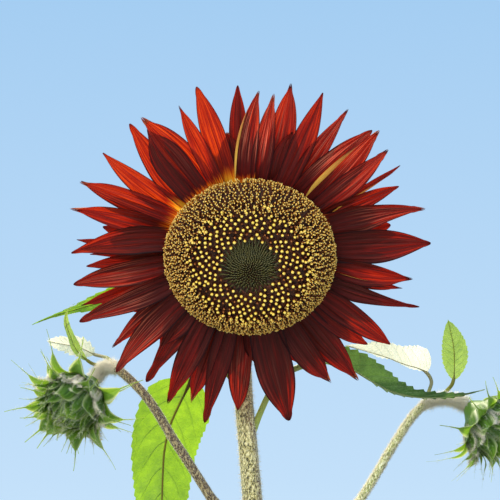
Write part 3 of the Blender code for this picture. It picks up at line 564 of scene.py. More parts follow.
def leaf_finish(name, base, deep, pale, glow, share, rib):
    """A leaf: faint curved side veins, a fine net between them and mottled flesh."""
    f = Finish(name)
    along, across, stalk = f.marks("along across stalk")
    side = abs(across)
    place = f.geometry("Position")
    broad = f.noise(60, 3, place)
    mottle = f.noise(230, 3, place, 0.6)
    bend = side * 0.12 + side.math("POWER", 2.0) * 0.10
    wave = ((along - bend + broad * 0.05) * 9.0).math("PINGPONG", 0.5)
    veins = f.ramp(wave, 0, 1, 0.025, 0.6, 0.06, 0) * f.ramp(side, 0.5, 1, 1, 0.2)
    midrib = f.ramp(side, 0, 1, 0.02, 0.7, 0.04, 0)
    net = f.out("TexVoronoi", 0, dict(feature="DISTANCE_TO_EDGE"), Vector=place, Scale=520.0)
    body = f.ramp(broad, 0.30, deep, 0.52, base, 0.78, pale)
    body = f.mix(f.ramp(mottle, 0.42, 0.5, 0.60, 0), body, deep)
    body = f.mix(f.ramp(net, 0, 0.30, 0.12, 0), body, pale)
    body = f.mix(veins * 0.40, body, pale)
    body = f.mix(f.ramp(side, 0.94, 0, 1, 0.7), body, pale)
    colour = f.mix(f.geometry("Backfacing") * 0.45, body, pale)
    colour = f.mix(midrib, colour, rib)
    colour = f.mix(stalk, colour, "#c0d060")
    light = f.mix(f.ramp(broad, 0.3, 0.45, 0.7, 0), glow, base)
    light = f.mix(f.ramp(mottle, 0.40, 0.45, 0.62, 0), light, base)
    light = f.mix(veins * 0.40, light, deep)
    light = f.mix(midrib, light, rib)
    relief = f.ramp(net, 0, 0, 0.2, 1) * 0.4 - veins.math("MAXIMUM", midrib)
    return f.surface(colour, 0.48, f.bump(relief, 0.55, 0.0005), light, share)


def bract_finish():
    """A bract: streaked green, downy at its edges, and yellower at its tip."""
    f = Finish("bract_green")
    along, across, own, outer, downy = f.marks("along across own outer downy")
    edge = abs(across)
    streaks = f.noise(1, 4, f.joined(along * 2.5, across * 7, own * 40))
    body = f.ramp(streaks, 0.36, "#1a3410", 0.48, "#38601e", 0.60, "#6a923a")
    body = f.mix(outer * 0.55, body, "#94bc44")
    body = f.mix(f.ramp(edge, 0.66, 0, 0.92, 1) * downy, body, "#e6e8c4")
    body = f.mix(f.ramp(along, 0.45, 0, 0.95, 1), body, "#8c9c3c")
    glow = f.mix(f.ramp(edge, 0.5, 0, 0.9, 1), "#84b01c", "#d8e870")
    return f.surface(body, 0.5, f.bump(streaks, 0.5, 0.0005), glow, 0.35)


def stem_finish(name, base, dark, pale, spots, neck=2.0):
    """A stem: closely flecked, browner in patches and, as painted shade, on its right side, and
    cream past its neck.
    """
    f = Finish(name)
    place = f.geometry("Position")
    fleck = f.noise(1300, 3, f.scaled(place, 1, 1, 0.5), 0.65)
    grain = f.noise(1900, 2, place)
    broad = f.noise(48, 2, f.scaled(place, 1, 1, 0.35))
    # browner in patches, and on the right side (+X), where this is painted shade
    brown = f.ramp(broad + f.part(f.geometry("Normal"), "X") * 0.22, 0.44, 0, 0.64, 0.85)
    body = f.ramp(fleck, 0.41, dark, 0.50, base, 0.60, pale)
    body = f.mix(brown * f.ramp(fleck, 0.44, 1, 0.60, 0.25), body, spots)
    body = f.mix(f.ramp(grain, 0.58, 0, 0.68, 0.5), body, pale)
    past = (f.marks("along")[0] - neck).math("MULTIPLY", 18.0, True)
    body = f.mix(past, body, "#fffae6")
    return f.surface(body, 0.62, f.bump(fleck + grain * 0.4, 0.8, 0.0006), sheen=0.2)


def item_finish(name, variety, roughness, *stops):
    """For joined small things: the colour runs along each one, and each has its own shade."""
    f = Finish(name)
    uv = f.bake_uv()
    number = f.part(uv, "X").math("SNAP", OWN_STEP)
    own = f.out("TexWhiteNoise", "Value", dict(noise_dimensions="1D"), W=number)
    body = f.mix(own * 0.6, f.ramp(f.part(uv, "Y"), *stops), variety)
    return f.surface(body, roughness, specular=0.4)


def hair_finish(name, root, tip, sheen=0.0):
    f = Finish(name)
    colour = f.ramp(f.part(f.bake_uv(), "Y"), 0, root, 1, tip)
    return f.surface(colour, 0.5, None, tip, 0.55, sheen)


def plain_finish(name, scale, detail, roughness, relief, *stops):
    """Mottled by one noise, which is also its relief: strength and depth, or none."""
    f = Finish(name)
    shade = f.noise(scale, detail, f.geometry("Position"))
    normal = f.bump(shade, *relief) if relief else None
    return f.surface(f.ramp(shade, *stops), roughness, normal)


# ---------------- rays of the open head

PETAL_ROWS = 50
PETAL_COLUMNS = 23
RAY_LINE_STEPS = 200
PLEAT_WIDTH = 3.2
# Where yellow runs out of the roots of the rays: angle, spread in degrees and reach. The yellow is
# the rays' own, but its greater reach at the upper left paints the light that shines through the
# roots there.
FLAMES = ((22, 12, 0.08), (104, 9, 0.24), (128, 12, 0.12), (152, 14, 0.20), (188, 22, 0.07))
LEAST_FLAME = 0.012
# How far out from its root a ray has painted shadow, by its angle: most below the disc, least at
# the upper left.
SHADOW_ANGLES = (0, 60, 95, 105, 140, 165, 200, 250, 300, 330, 360)
SHADOW_SHARES = (0.52, 0.50, 0.50, 0.30, 0.34, 0.42, 0.55, 0.78, 0.75, 0.55, 0.52)


def ray_half_width(t, half, taper):
    opening = 0.76 + 0.24 * np.sin(np.minimum(t / 0.5, 1) * pi / 2)
    closing = 1 - np.maximum(0, (t - 0.40) / 0.60) ** taper
    return half * np.maximum(opening * closing, 0.05)


def ray_line(tip, root, length, t):
    """A ray's midline in the head's plane: it leaves the disc squarely and bends to its tip."""
    root_point = RAY_ROOT * np.array((cos(root), sin(root)))
    tip_point = (RAY_ROOT + length) * np.array((cos(tip), sin(tip)))
    turn_point = root_point + root_point / RAY_ROOT * length * 0.45
    t = t[:, None]
    return root_point * (1 - t) ** 2 + turn_point * 2 * t * (1 - t) + tip_point * t ** 2


def build_petals():
    draw = random.Random(SEED)
    more = random.Random(SEED + 40)
    heap = Heap()
    t = np.linspace(0, 1, PETAL_ROWS)[:, None]
    s = np.linspace(-1, 1, PETAL_COLUMNS)
    spread = np.linspace(0, 1, RAY_LINE_STEPS)
    for number, (tip, reach, width, root, layer, *looks) in enumerate(RAYS):
        shade, taper, folds, roll_over, roll_from, deep = (*looks, *USUAL_LOOKS[len(looks):])
        angle = radians(tip)
        lean = -RAY_LEAN * sin(angle) + radians(draw.uniform(-2.5, 2.5)) - 0.03 * layer
        roll = radians(draw.uniform(-10, 10))
        height = RAY_LAYERS[layer] + draw.uniform(-0.25, 0.25) * MM
        half = width / 2 * MM
        length = reach * MM + DISC_RADIUS - RAY_ROOT
        arch = more.uniform(-0.3, 1.6) * MM
        cup = more.uniform(0.0, 0.7)
        tip_turn = more.uniform(-1.8, 2.0) * MM
        pleats = max(2, round(width / PLEAT_WIDTH)) + more.choice((0, 0.5))
        phase = more.uniform(0, tau)
        pleat = more.uniform(0.22, 0.42) * MM
        notch = more.choice((0, 0, 0, 0.02, 0.035))
        ruffle = more.uniform(0.01, 0.04)
        wide = ray_half_width(t, half, taper)
        wide = wide * (1 + ruffle * np.sin(9 * t + phase) * np.sin(pi * t))
        blunt = half * more.uniform(0.18, 0.34) * np.sqrt(np.clip((1.0 - t) / 0.075, 0.02, 1))
        wide = np.maximum(wide, blunt)
        # Across: an arc whose angle grows from the midrib to the edges, more on a rolled side.
        side = math.copysign(1, roll_over)
        bend = cup * s + 0 * t
        bend = bend + roll_over * smooth((side * s - roll_from) / 0.30) \
            * np.sin(pi * np.clip(t * 1.1, 0, 1)) ** 0.5
        step = 2 / (PETAL_COLUMNS - 1)
        dy, dz = np.cos(bend) * step, np.sin(bend) * step
        y = np.cumsum(dy, 1) - dy / 2
        z = np.cumsum(dz, 1) - dz / 2
        middle = PETAL_COLUMNS // 2
        y = (y - y[:, middle:middle + 1]) * wide
        z = (z - z[:, middle:middle + 1]) * wide
        z = z + pleat * np.cos(pleats * pi * s + phase) * np.sin(pi * t) ** 0.6 \
            * (1 - 0.5 * np.abs(s))
        turn = roll * t * 0.7
        y, z = y * np.cos(turn) - z * np.sin(turn), y * np.sin(turn) + z * np.cos(turn)
        # Along: the midline, with a notch at the tip, arched and turned up or down at its end.
        run = t * (1 - notch * t ** 6 * (1 - np.cos(tau * 1.5 * s)))
        line = ray_line(angle, radians(root), length, spread)
        mx, my, wx, wy = (np.interp(run, spread, v) for v in (*line.T, *ways_of(line).T))
        flat = np.hypot(mx, my) - RAY_ROOT
        z = z + arch * np.sin(pi * t) + tip_turn * np.clip((t - 0.7) / 0.3, 0, 1) ** 2 * t
        shrink = (RAY_ROOT + flat * cos(lean) - z * sin(lean)) / (RAY_ROOT + flat)
        points = stacked(mx * shrink - y * wy, my * shrink + y * wx,
                         height + flat * sin(lean) + z * cos(lean))
        yolk = sum(far * math.exp(-((root - at) / broad) ** 2) for at, broad, far in FLAMES)
        yolk = (LEAST_FLAME + yolk) * more.uniform(0.7, 1.3)
        # how far out the painted shadow at the root reaches
        if deep is None:
            deep = np.interp(tip, SHADOW_ANGLES, SHADOW_SHARES)
        heap.add(moved(HEAD, points), grid_faces(PETAL_ROWS, PETAL_COLUMNS)[:, ::-1],
                 cell(number, len(RAYS), s * 0.5 + 0.5, t), along=t, across=s,
                 own=(number + 1) / len(RAYS), yolk=yolk, shade=shade, deep=deep, folds=folds)
    heap.piece("petals", petal_finish(), "petal", ["ray_petals"])


# ---------------- the disc

SEAMS = 97
DOME_STEPS = 240
# Radii in millimetres: the female florets stand outside the first, unopened ones inside the other.
FEMALE_FROM = 26.5
UNOPENED_TO = 13.4
STIGMA_SHAPES = 6
BASE_EVERY = 4  # the ground under the florets has every fourth point of the dome's line
# Small shapes as (height, radius) pairs in millimetres, from their foot up.
CLOSED_FLORET = ((-1.2, 0.35), (-0.4, 0.50), (0.5, 0.42), (1.3, 0.20), (1.9, 0.05))
FLORET_TUBE = ((-2.6, 0.42), (-1.2, 0.44), (0.2, 0.48), (0.75, 0.50), (1.1, 0.30))
POLLEN_BALL = ((-0.48, 0.33), (-0.2, 0.60), (0.18, 0.68), (0.52, 0.48), (0.7, 0.14))
STIGMA_RADII = (0.14, 0.17, 0.23, 0.32, 0.32, 0.13)
# Each kind's finish: its name, the colour that varies it, its roughness, and its colours from its
# foot to its top. The stigmas run from painted shade at their feet to painted highlights at their
# tips, and the tops of the pollen balls are painted highlights.
FLORET_LOOKS = dict(
    closed_florets=("floret_closed", "#5c5414", 0.6,
                    0, "#12140a", 0.45, "#282a18", 0.75, "#4a4a2a", 1, "#969068"),
    dark_florets=("floret_dark", "#7a3e14", 0.4,
                  0, "#281014", 0.5, "#321418", 0.8, "#6a3216", 1, "#b4702c"),
    pollen=("pollen_yellow", "#f0c840", 0.7, 0, "#b87010", 0.4, "#f0bc2c", 1, "#fdea80"),
    stigmas=("stigma_gold", "#8a5420", 0.55,
             0, "#180a0c", 0.38, "#4c240c", 0.60, "#c88a26", 0.8, "#f8c448", 1, "#fff4a0"),
)
DOME = [(0, DISC_HEIGHT - DISC_HOLLOW)]
DOME += [(DISC_RADIUS * radius, DISC_HEIGHT * height) for radius, height in DISC_OUTLINE]
DOME.append((DISC_RADIUS, DISC_UNDERCUT))


def flat_line(profile, count):
    """A smooth line through (radius, height) pairs."""
    return np.array(smooth_line([(r, h, 0) for r, h in profile], count))[:, :2]


def build_disc():
    draw = np.random.default_rng(SEED + 5)
    line = flat_line(DOME, DOME_STEPS)
    way = ways_of(line)
    normals = np.stack([-way[:, 1], way[:, 0]], -1)
    steps = np.linalg.norm(np.diff(line, axis=0), axis=1)
    radius = line[:, 0]
    # The dome under the florets.
    sunk = line - normals * (1.0 + 1.6 * smooth((radius - 0.010) / 0.006))[:, None] * MM
    sunk[:, 0] = np.maximum(sunk[:, 0], 0)
    base, u, v = turned(sunk[::BASE_EVERY], SEAMS)
    ground = Heap()
    ground.add(moved(HEAD, base), grid_faces(*base.shape[:2]), stacked(u, v))
    look = plain_finish("disc_ground", 900.0, 3.0, 0.8, (0.7, 0.001),
                        0.35, "#24100c", 0.55, "#4c240e", 0.75, "#7a3c14")
    ground.piece("disc_ground", look, "disc", ["disc_florets"])

    # Where the florets stand: a spiral by the golden angle, denser in the unopened middle.
    mm = radius / MM
    area = (1.4 + 5.0 * smooth((mm - 10) / 4) - 3.6 * smooth((mm - 23) / 6)) * MM * MM  # of each
    amount = np.concatenate([[0], np.cumsum(tau * (radius[1:] / area[1:]) * steps)])
    count = int(amount[-1])
    place = np.interp(np.arange(count) + 0.5, amount, np.arange(len(line)))
    normal = unit(between(normals, place))
    turn = np.arange(count) * LEAF_TURN + draw.normal(0, 0.012, count)
    cosine, sine = np.cos(turn), np.sin(turn)
    rr, up = between(line, place).T
    origin = stacked(rr * cosine, rr * sine, up)
    out = stacked(normal[:, 0] * cosine, normal[:, 0] * sine, normal[:, 1])
    out = unit(out + draw.normal(0, 0.07, (count, 3)))
    outward = unit(np.cross(stacked(-sine, cosine, 0 * sine), out))
    level = np.cross(out, outward)
    sink = 0.6 + 1.3 * smooth((rr / MM - 28) / 8) + 0.9 * smooth((6 - up / MM) / 6)
    origin = moved(HEAD, origin - out * sink[:, None] * MM)
    out, level, outward = (w @ np.array(HEAD)[:3, :3].T for w in (out, level, outward))
    own = draw.random(count)
    size = draw.uniform(0.88, 1.12, count)
    reach = rr / MM + draw.normal(0, 1.0, count)
    shown = up > -0.8 * MM
    opened = (reach > FEMALE_FROM) & shown
    closed = rr / MM + draw.normal(0, 0.25, count) <= UNOPENED_TO
    stray = draw.normal(0, 0.24, (2, count, 1)) * np.where(closed, 0, MM)[:, None]
    origin = origin + level * stray[0] + outward * stray[1]
    heaps = {name: Heap() for name in FLORET_LOOKS}

    def put(name, shape, chosen, lift, size=size, out=out):
        """Stands a small shape, given in millimetres, on every chosen place."""
        z = unit(out[chosen])
        x = unit(level[chosen] - z * (level[chosen] * z).sum(1)[:, None])
        copies(heaps[name], shape, origin[chosen] + z * lift * MM, x, np.cross(z, x), z,
               size[chosen] * MM, own[chosen])

    # Unopened ones are slim pointed cones that lean to the middle.
    lean_in = unit(out - outward * 0.75 * smooth(rr / MM / 7)[:, None])
    put("closed_florets", spindle(CLOSED_FLORET, 6), closed, 0.0, out=lean_in)

    # The others have a dark tube with five lobes at its mouth, and many a ball of pollen on top.
    pollen = ~opened & ~closed & shown
    put("dark_florets", spindle(FLORET_TUBE, 6), pollen | opened, -0.5,
        size * np.where(opened, 0.8, 1.0))
    put("dark_florets", crown(5, 0.44, 1.05, 0.9), pollen | opened, -1.3)
    dusted = (pollen & (own > 0.16)) | (opened & (reach < 30) & (own > 0.6))
    put("pollen", spindle(POLLEN_BALL, 8), dusted, 1.15)

    # The opened ones also have two tan arms that curl back.
    for variant in range(STIGMA_SHAPES):
        for way in (1, -1):
            shape = arm(draw)
            pick = opened & (np.arange(count) % STIGMA_SHAPES == variant)
            twist = draw.normal(0, 0.5, count)
            x = (outward * np.cos(twist)[:, None] + level * np.sin(twist)[:, None]) * way
            y = np.cross(out, x)
            copies(heaps["stigmas"], shape, origin[pick] + out[pick] * 0.9 * MM, x[pick], y[pick],
                   out[pick], size[pick] * MM, own[pick])
    for name, heap in heaps.items():
        heap.piece(name, item_finish(*FLORET_LOOKS[name]), "disc")


def spindle(profile, sides):
    """A round shape about +Z through (height, radius) pairs in millimetres, shut at its top."""
    rings = [[(r * cos(a), r * sin(a), h) for a in turns_of(sides)] for h, r in profile]
    top = len(profile) * sides
    height, radius = profile[-1]
    points = np.concatenate([np.reshape(rings, (-1, 3)), [[0, 0, height + radius * 0.4]]])
    along = np.append(np.repeat(np.linspace(0, 1, len(profile)), sides), 1.0)
    faces = grid_faces(len(profile), sides, True).tolist()
    start = top - sides
    faces += [[start + i, start + (i + 1) % sides, top] for i in range(sides)]
    return points, faces, along


def crown(count, inner, outer, rise):
    """Pointed lobes round a mouth, in millimetres."""
    points, faces, along = [], [], []
    halfway = (inner + outer) / 2
    for i in range(count):
        a = tau * i / count
        for turn, radius, height, v in ((-0.5, inner, 0, 0.2), (0.5, inner, 0, 0.2),
                                        (0.28, halfway, rise * 0.8, 0.6),
                                        (-0.28, halfway, rise * 0.8, 0.6), (0, outer, rise, 1.0)):
            points.append((radius * cos(a + turn), radius * sin(a + turn), height))
            along.append(v)
        b = i * 5
        faces += [[b, b + 1, b + 2, b + 3], [b + 3, b + 2, b + 4]]
    return np.array(points), faces, np.array(along)


def arm(draw):
    """One arm of a stigma, in millimetres: it rises, leans to +X and curls over at its tip."""
    steps, sides = len(STIGMA_RADII) - 1, 5
    length = draw.uniform(1.4, 2.0)
    lean = draw.uniform(0.2, 0.55)
    curl = draw.uniform(0.4, 1.3)
    path = [np.array([0.05, 0.0, -0.3])]
    drift = draw.uniform(-0.6, 0.6)
    for i in range(steps):
        a = lean + curl * ((i + 0.5) / steps) ** 2
        path.append(path[-1] + np.array([sin(a), drift * 0.4, cos(a)]) * length / steps)
    rings = tube(np.array(path), STIGMA_RADII, sides, (0.0, 1.0, 0.0))
    along = np.repeat(np.linspace(0, 1, steps + 1), sides)
    return rings.reshape(-1, 3), grid_faces(steps + 1, sides, True).tolist(), along


# ---------------- thin blades and hairs

BRACT_COLUMNS = 9
GOLDEN_SHARE = 0.61803


def blade(heap, line, edge, wides, number, total, fold, cup, way, outer=0.0, downy=0.7):
    """A bract: a thin pointed blade along a line of points, one of a total."""
    s = np.linspace(-1, 1, BRACT_COLUMNS)
    y = wides[:, None] * s
    z = wides[:, None] * (fold * np.abs(s) + cup * s * s)
    points = moved(way, off_line(line, *sides_of(line, edge), y, z))
    t = np.linspace(0, 1, len(line))[:, None]
    heap.add(points, grid_faces(len(line), BRACT_COLUMNS), cell(number, total, s * 0.5 + 0.5, t),
             along=t, across=s, own=number / total, outer=outer, downy=downy)
    return points


def hairs(heap, roots, ways, lengths, wide):
    """Three-sided cones from many roots."""
    count = len(roots)
    helper = np.where(np.abs(ways[:, 2:3]) < 0.8, [[0.0, 0.0, 1.0]], [[1.0, 0.0, 0.0]])
    x = unit(np.cross(ways, helper))
    y = np.cross(ways, x)
    feet = [roots + (x * cos(a) + y * sin(a)) * wide for a in (0, tau / 3, tau * 2 / 3)]
    points = np.stack([*feet, roots + ways * lengths[:, None]], 1)
    faces = np.array([[0, 1, 3], [1, 2, 3], [2, 0, 3]]) + (np.arange(count) * 4)[:, None, None]
    u = (np.arange(count) * GOLDEN_SHARE) % 1 * 0.99
    uv = stacked(u[:, None] + np.array([0.0, 1.0, 2.0, 1.0]) * OWN_STEP, (0, 0, 0, 1))
    heap.add(points, faces.reshape(-1, 3), uv)


def fringe(name, finish, sheets, seed, each, length, reach=0.85, edges=0.6, wide=0.05):
    """Hairs on the faces and, for a share of them, edges of thin blades, as far out as reach."""
    draw = np.random.default_rng(seed)
    coat = Heap()
    for points in sheets:
        rows, columns = points.shape[:2]
        row = draw.integers(0, int(rows * reach), each)
        edge = draw.random(each) < edges
        column = np.where(edge, draw.integers(0, 2, each) * (columns - 1),
                          draw.integers(0, columns, each))
        roots = points[row, column]
        middle = points[row, columns // 2]
        inner = points[np.minimum(row + 1, rows - 1), columns // 2] - middle
        outwards = np.where(edge[:, None], unit(roots - middle + 1e-9), 0)
        ways = unit(outwards + draw.normal(0, 0.5, (each, 3)) + unit(inner) * 0.4)
        hairs(coat, roots, ways, length * MM * draw.uniform(0.4, 1.2, each), wide * MM)
    coat.piece(name, finish, "green_bract")


# ---------------- stems

WOOL_FROM = 0.86  # from this share of a side stem to its bud it is woolly
WOOL_COUNT = 5000
# Each stem's skin: its rows and sides, how far its foot runs on into what carries it, the depth
# of its ridges as a share, and the number and length in millimetres of its hairs.
STEM_SKINS = dict(main=(420, 28, 0, 0.035, 34000, 2.0),
                  left=(160, 18, 1.2 * MM, 0.03, 5500, 0.8),
                  right=(160, 18, 1.2 * MM, 0.03, 18000, 1.3))


class Limb:
    """A stem as one curve of points with their radii."""

    def __init__(self, knots, steps):
        line = smooth_line(knots, steps)
        self.points = [Vector(k[:3]) for k in line]
        self.radii = [k[3] for k in line]
        ends = [self.points[0], *self.points, self.points[-1]]
        self.ways = [(b - a).normalized() for a, b in zip(ends, ends[2:])]

    def at_share(self, share):
        place = share * (len(self.points) - 1)
        i = min(int(place), len(self.points) - 2)
        t = place - i
        return (self.points[i].lerp(self.points[i + 1], t),
                self.ways[i].lerp(self.ways[i + 1], t).normalized(),
                self.radii[i] * (1 - t) + self.radii[i + 1] * t)

    def at_height(self, height):
        i = next(n for n, p in enumerate(self.points) if p.z > height) - 1
        a, b = self.points[i].z, self.points[i + 1].z
        return self.at_share((i + (height - a) / (b - a)) / (len(self.points) - 1))


def seat(where, towards):
    """The point on a limb's skin by a place on it, on the side of another point, and its way."""
    point, way, radius = where
    out = towards - point
    out = (out - way * out.dot(way)).normalized()
    return point + out * (radius + CLEAR), out


def main_stem_limb():
    knots = [Vector(k) * MM for k in MAIN_STEM]
    neck = knots[-1]
    back = HEAD @ Vector((0, 0, RECEPTACLE_FACE - RECEPTACLE_DEPTH - CLEAR))
    middle = back - HEAD.col[1].xyz * NECK_BEND
    for i in range(NECK_STEPS + 1):
        share = i / NECK_STEPS
        turn = (pi / 2 + HEAD_DIP) * share
        point = middle + Vector((0, cos(turn), sin(turn))) * NECK_BEND
        point.x = neck.x * (1 - share) + HEAD_CENTRE.x * share
        radius = neck[3] * (1 - share ** 3) + NECK_END_RADIUS * share ** 3
        knots.append(Vector((*point, radius)))
    return Limb(knots, MAIN_STEM_STEPS)


def side_stem_limb(knots, main, bud, steps):
    limb = Limb([Vector((*near_head(*k[:3]), k[3] * MM)) for k in knots], steps)
    points = limb.points
    foot = seat(main.at_height(points[0].z), points[2])[0]
    slope = (points[2] - foot).normalized()
    points[0] = foot
    points[1] = foot + slope * (points[2] - foot).length * 0.5
    points[-1] = bud @ Vector((0, 0, -BUD_HALF_LENGTH - BUD_NECK - CLEAR))
    return limb


def build_stem(name, slot, limb, skin, seed, finish, hair_look, wool=None):
    """A stem with ridges and swellings, and its hairs."""
    rows, sides, sunk, ridge, hair_count, hair_length = skin
    draw = np.random.default_rng(seed)
    line = np.array(smooth_line([(*p, r) for p, r in zip(limb.points, limb.radii)], rows))
    if sunk:  # the foot of a side stem runs on into the main stem
        start = line[0].copy()
        start[:3] -= ways_of(line[:, :3])[0] * sunk
        line = np.concatenate([[start], line])
    points, radii = line[:, :3], line[:, 3]
    turns = turns_of(sides)
    v = np.linspace(0, 1, len(points))[:, None]
    ripple = 1 + ridge * np.cos(9 * turns + 3 * np.sin(7 * v))
    ripple += ridge * 0.7 * np.sin(5 * turns + 40 * v)
    ripple += draw.normal(0, ridge * 0.35, ripple.shape)
    rings = tube(points, radii[:, None] * ripple, sides)
    centres = points[[0, -1]]
    if not sunk:
        rings[0, :, 2] = 0
        centres[0, 2] = 0
    heap = Heap()
    u = np.abs(np.arange(sides) / sides * 2 - 1)
    heap.add(rings, grid_faces(len(points), sides, True), stacked(u, v), along=v)
    total = heap.count
    last = total - sides
    heap.add(centres, [], [[0.5, 0.0], [0.5, 1.0]], along=(0, 1))
    heap.faces += [[(i + 1) % sides, i, total] for i in range(sides)]
    heap.faces += [[last + i, last + (i + 1) % sides, total + 1] for i in range(sides)]
    heap.piece(name + "_bark", finish, slot, [name])

    def coat(title, look, shares, reach, stray, wide, least=0.4):
        """Hairs on the stem at shares of its length, none of them in the ground."""
        many = len(shares)
        place = shares * (len(points) - 1)
        low = np.minimum(place.astype(int), len(points) - 2)
        part = (place - low)[:, None]
        around = draw.random(many) * sides
        side = around.astype(int)
        between = (around - side)[:, None]

        def on(row):
            return rings[row, side] * (1 - between) + rings[row, (side + 1) % sides] * between

        roots = on(low) * (1 - part) + on(low + 1) * part
        centre = points[low] * (1 - part) + points[low + 1] * part
        away = unit(roots - centre)
        slant = ways_of(points)[low] * draw.normal(-0.15, stray, many)[:, None]
        ways = unit(away + draw.normal(0, stray, away.shape) + slant)
        lengths = reach * draw.uniform(least, 1.15, many) * MM
        heap = Heap()
        hairs(heap, roots - away * 0.05 * MM, ways, lengths, wide * MM)
        for grown in heap.points:
            grown[:, 2] = np.maximum(grown[:, 2], 0.0)
        heap.piece(name + title, look, slot)

    # The hairs are denser where the stem is young, and the neck of a bud has wool.
    coat("_hairs", hair_look, draw.random(hair_count) ** 0.6, hair_length, stray=0.3, wide=0.06)
    if wool:
        shares = WOOL_FROM + (1 - WOOL_FROM) * draw.random(WOOL_COUNT) ** 0.8
        coat("_wool", wool, shares, 3.4, stray=0.8, wide=0.09, least=0.15)


# ---------------- the back of the head and the buds

RECEPTACLE_STEPS = 40
# The receptacle's side from its neck to its rim, as shares of its radius and depth.
RECEPTACLE_OUTLINE = ((0.36, 0.80), (0.66, 0.55), (0.88, 0.28))
HEAD_BRACT_STEPS = 22
# Where the three rows of bracts start, as shares of the radius and in millimetres below the face,
# and how many steps each leans back.
HEAD_BRACT_ROWS = ((0.95, 2.2, 0), (0.86, 4.5, 1), (0.74, 7.0, 1.6))
BUD_STEPS = 26
BUD_CORE_STEPS = 15
BUD_SEAMS = 41
BUD_FOLD = 0.2
BUD_WOOL_RINGS = (1, 5)  # counted from 0


def build_receptacle(finish, fuzz):
    face, deep, wide = RECEPTACLE_FACE, RECEPTACLE_DEPTH, RECEPTACLE_RADIUS
    profile = [(NECK_END_RADIUS, face - deep)]
    profile += [(wide * r, face - deep * h) for r, h in RECEPTACLE_OUTLINE]
    profile += [(wide, face - 1 * MM), (wide, face)]
    waves = np.cos(13 * np.linspace(0, tau, SEAMS))
    bulge = np.sin(np.linspace(0, pi, RECEPTACLE_STEPS + 1))[:, None]
    base, u, v = turned(flat_line(profile, RECEPTACLE_STEPS), SEAMS, 1 + 0.025 * waves * bulge)
    heap = Heap()
    heap.add(moved(HEAD, base), grid_faces(*base.shape[:2])[:, ::-1], stacked(u, v),
             along=0.2, across=0.3, own=0.5, outer=0.0, downy=0.0)
    green = plain_finish("receptacle_green", 160.0, 4.0, 0.6, (0.6, 0.001),
                         0.35, "#3c5a16", 0.55, "#587a24", 0.75, "#7d9a3c")
    heap.piece("receptacle", green, "green_bract", ["head_receptacle"])

    draw = random.Random(SEED + 1)
    more = random.Random(SEED + 31)
    leaves = Heap()
    coat = []
    total = HEAD_BRACTS * 2
    t = np.linspace(0, 1, HEAD_BRACT_STEPS)
    tapered = np.maximum((1 - t) ** 0.9 * (0.8 + 0.9 * t), 0.05)
    wides = HEAD_BRACT_WIDTH / 2 * tapered * np.minimum(1, (1.02 - t) * 8)
    for i in range(total):
        extra = i >= HEAD_BRACTS  # the third row, behind the solid's two
        source = more if extra else draw
        radius, drop, steps = HEAD_BRACT_ROWS[2 if extra else i % 2]
        angle = tau * (i + (0.5 if extra else 0) + source.uniform(-0.15, 0.15)) / HEAD_BRACTS
        lean = HEAD_BRACT_LEAN + steps * 0.16 + source.uniform(-0.05, 0.05)
        length = HEAD_BRACT_LENGTH * source.uniform(0.88, 1.05) * (0.86 if extra else 1)
        run = length * t
        back = -run * sin(lean) - 3 * MM * t * t * np.sin(pi * t)
        back = back - more.uniform(0, 3) * MM * t ** 4
        far = wide * radius + run * cos(lean)
        line = stacked(cos(angle) * far, sin(angle) * far, face - drop * MM + back)
        level = np.array((-sin(angle), cos(angle), 0))
        coat.append(blade(leaves, line, level, wides, i, total, 0.12, more.uniform(-0.3, 0.2),
                          HEAD))
    leaves.piece("head_bracts", finish, "green_bract")
    fringe("head_bract_hairs", fuzz, coat, SEED + 60, each=60, length=1.3)


def bract_lean(t, start, length, flare):
    """How far a bract leans out of the bud's axis: along the core, then out at its tip."""
    around = start + np.minimum(t, BUD_BRACT_LIES) * length * 2 / (BUD_RADIUS + BUD_HALF_LENGTH)
    along_core = np.arctan2(BUD_RADIUS * np.cos(around), BUD_HALF_LENGTH * np.sin(around))
    return along_core + BUD_BRACT_LIFT + flare * smooth((t - BUD_BRACT_LIES) / BUD_BRACT_TURNS)


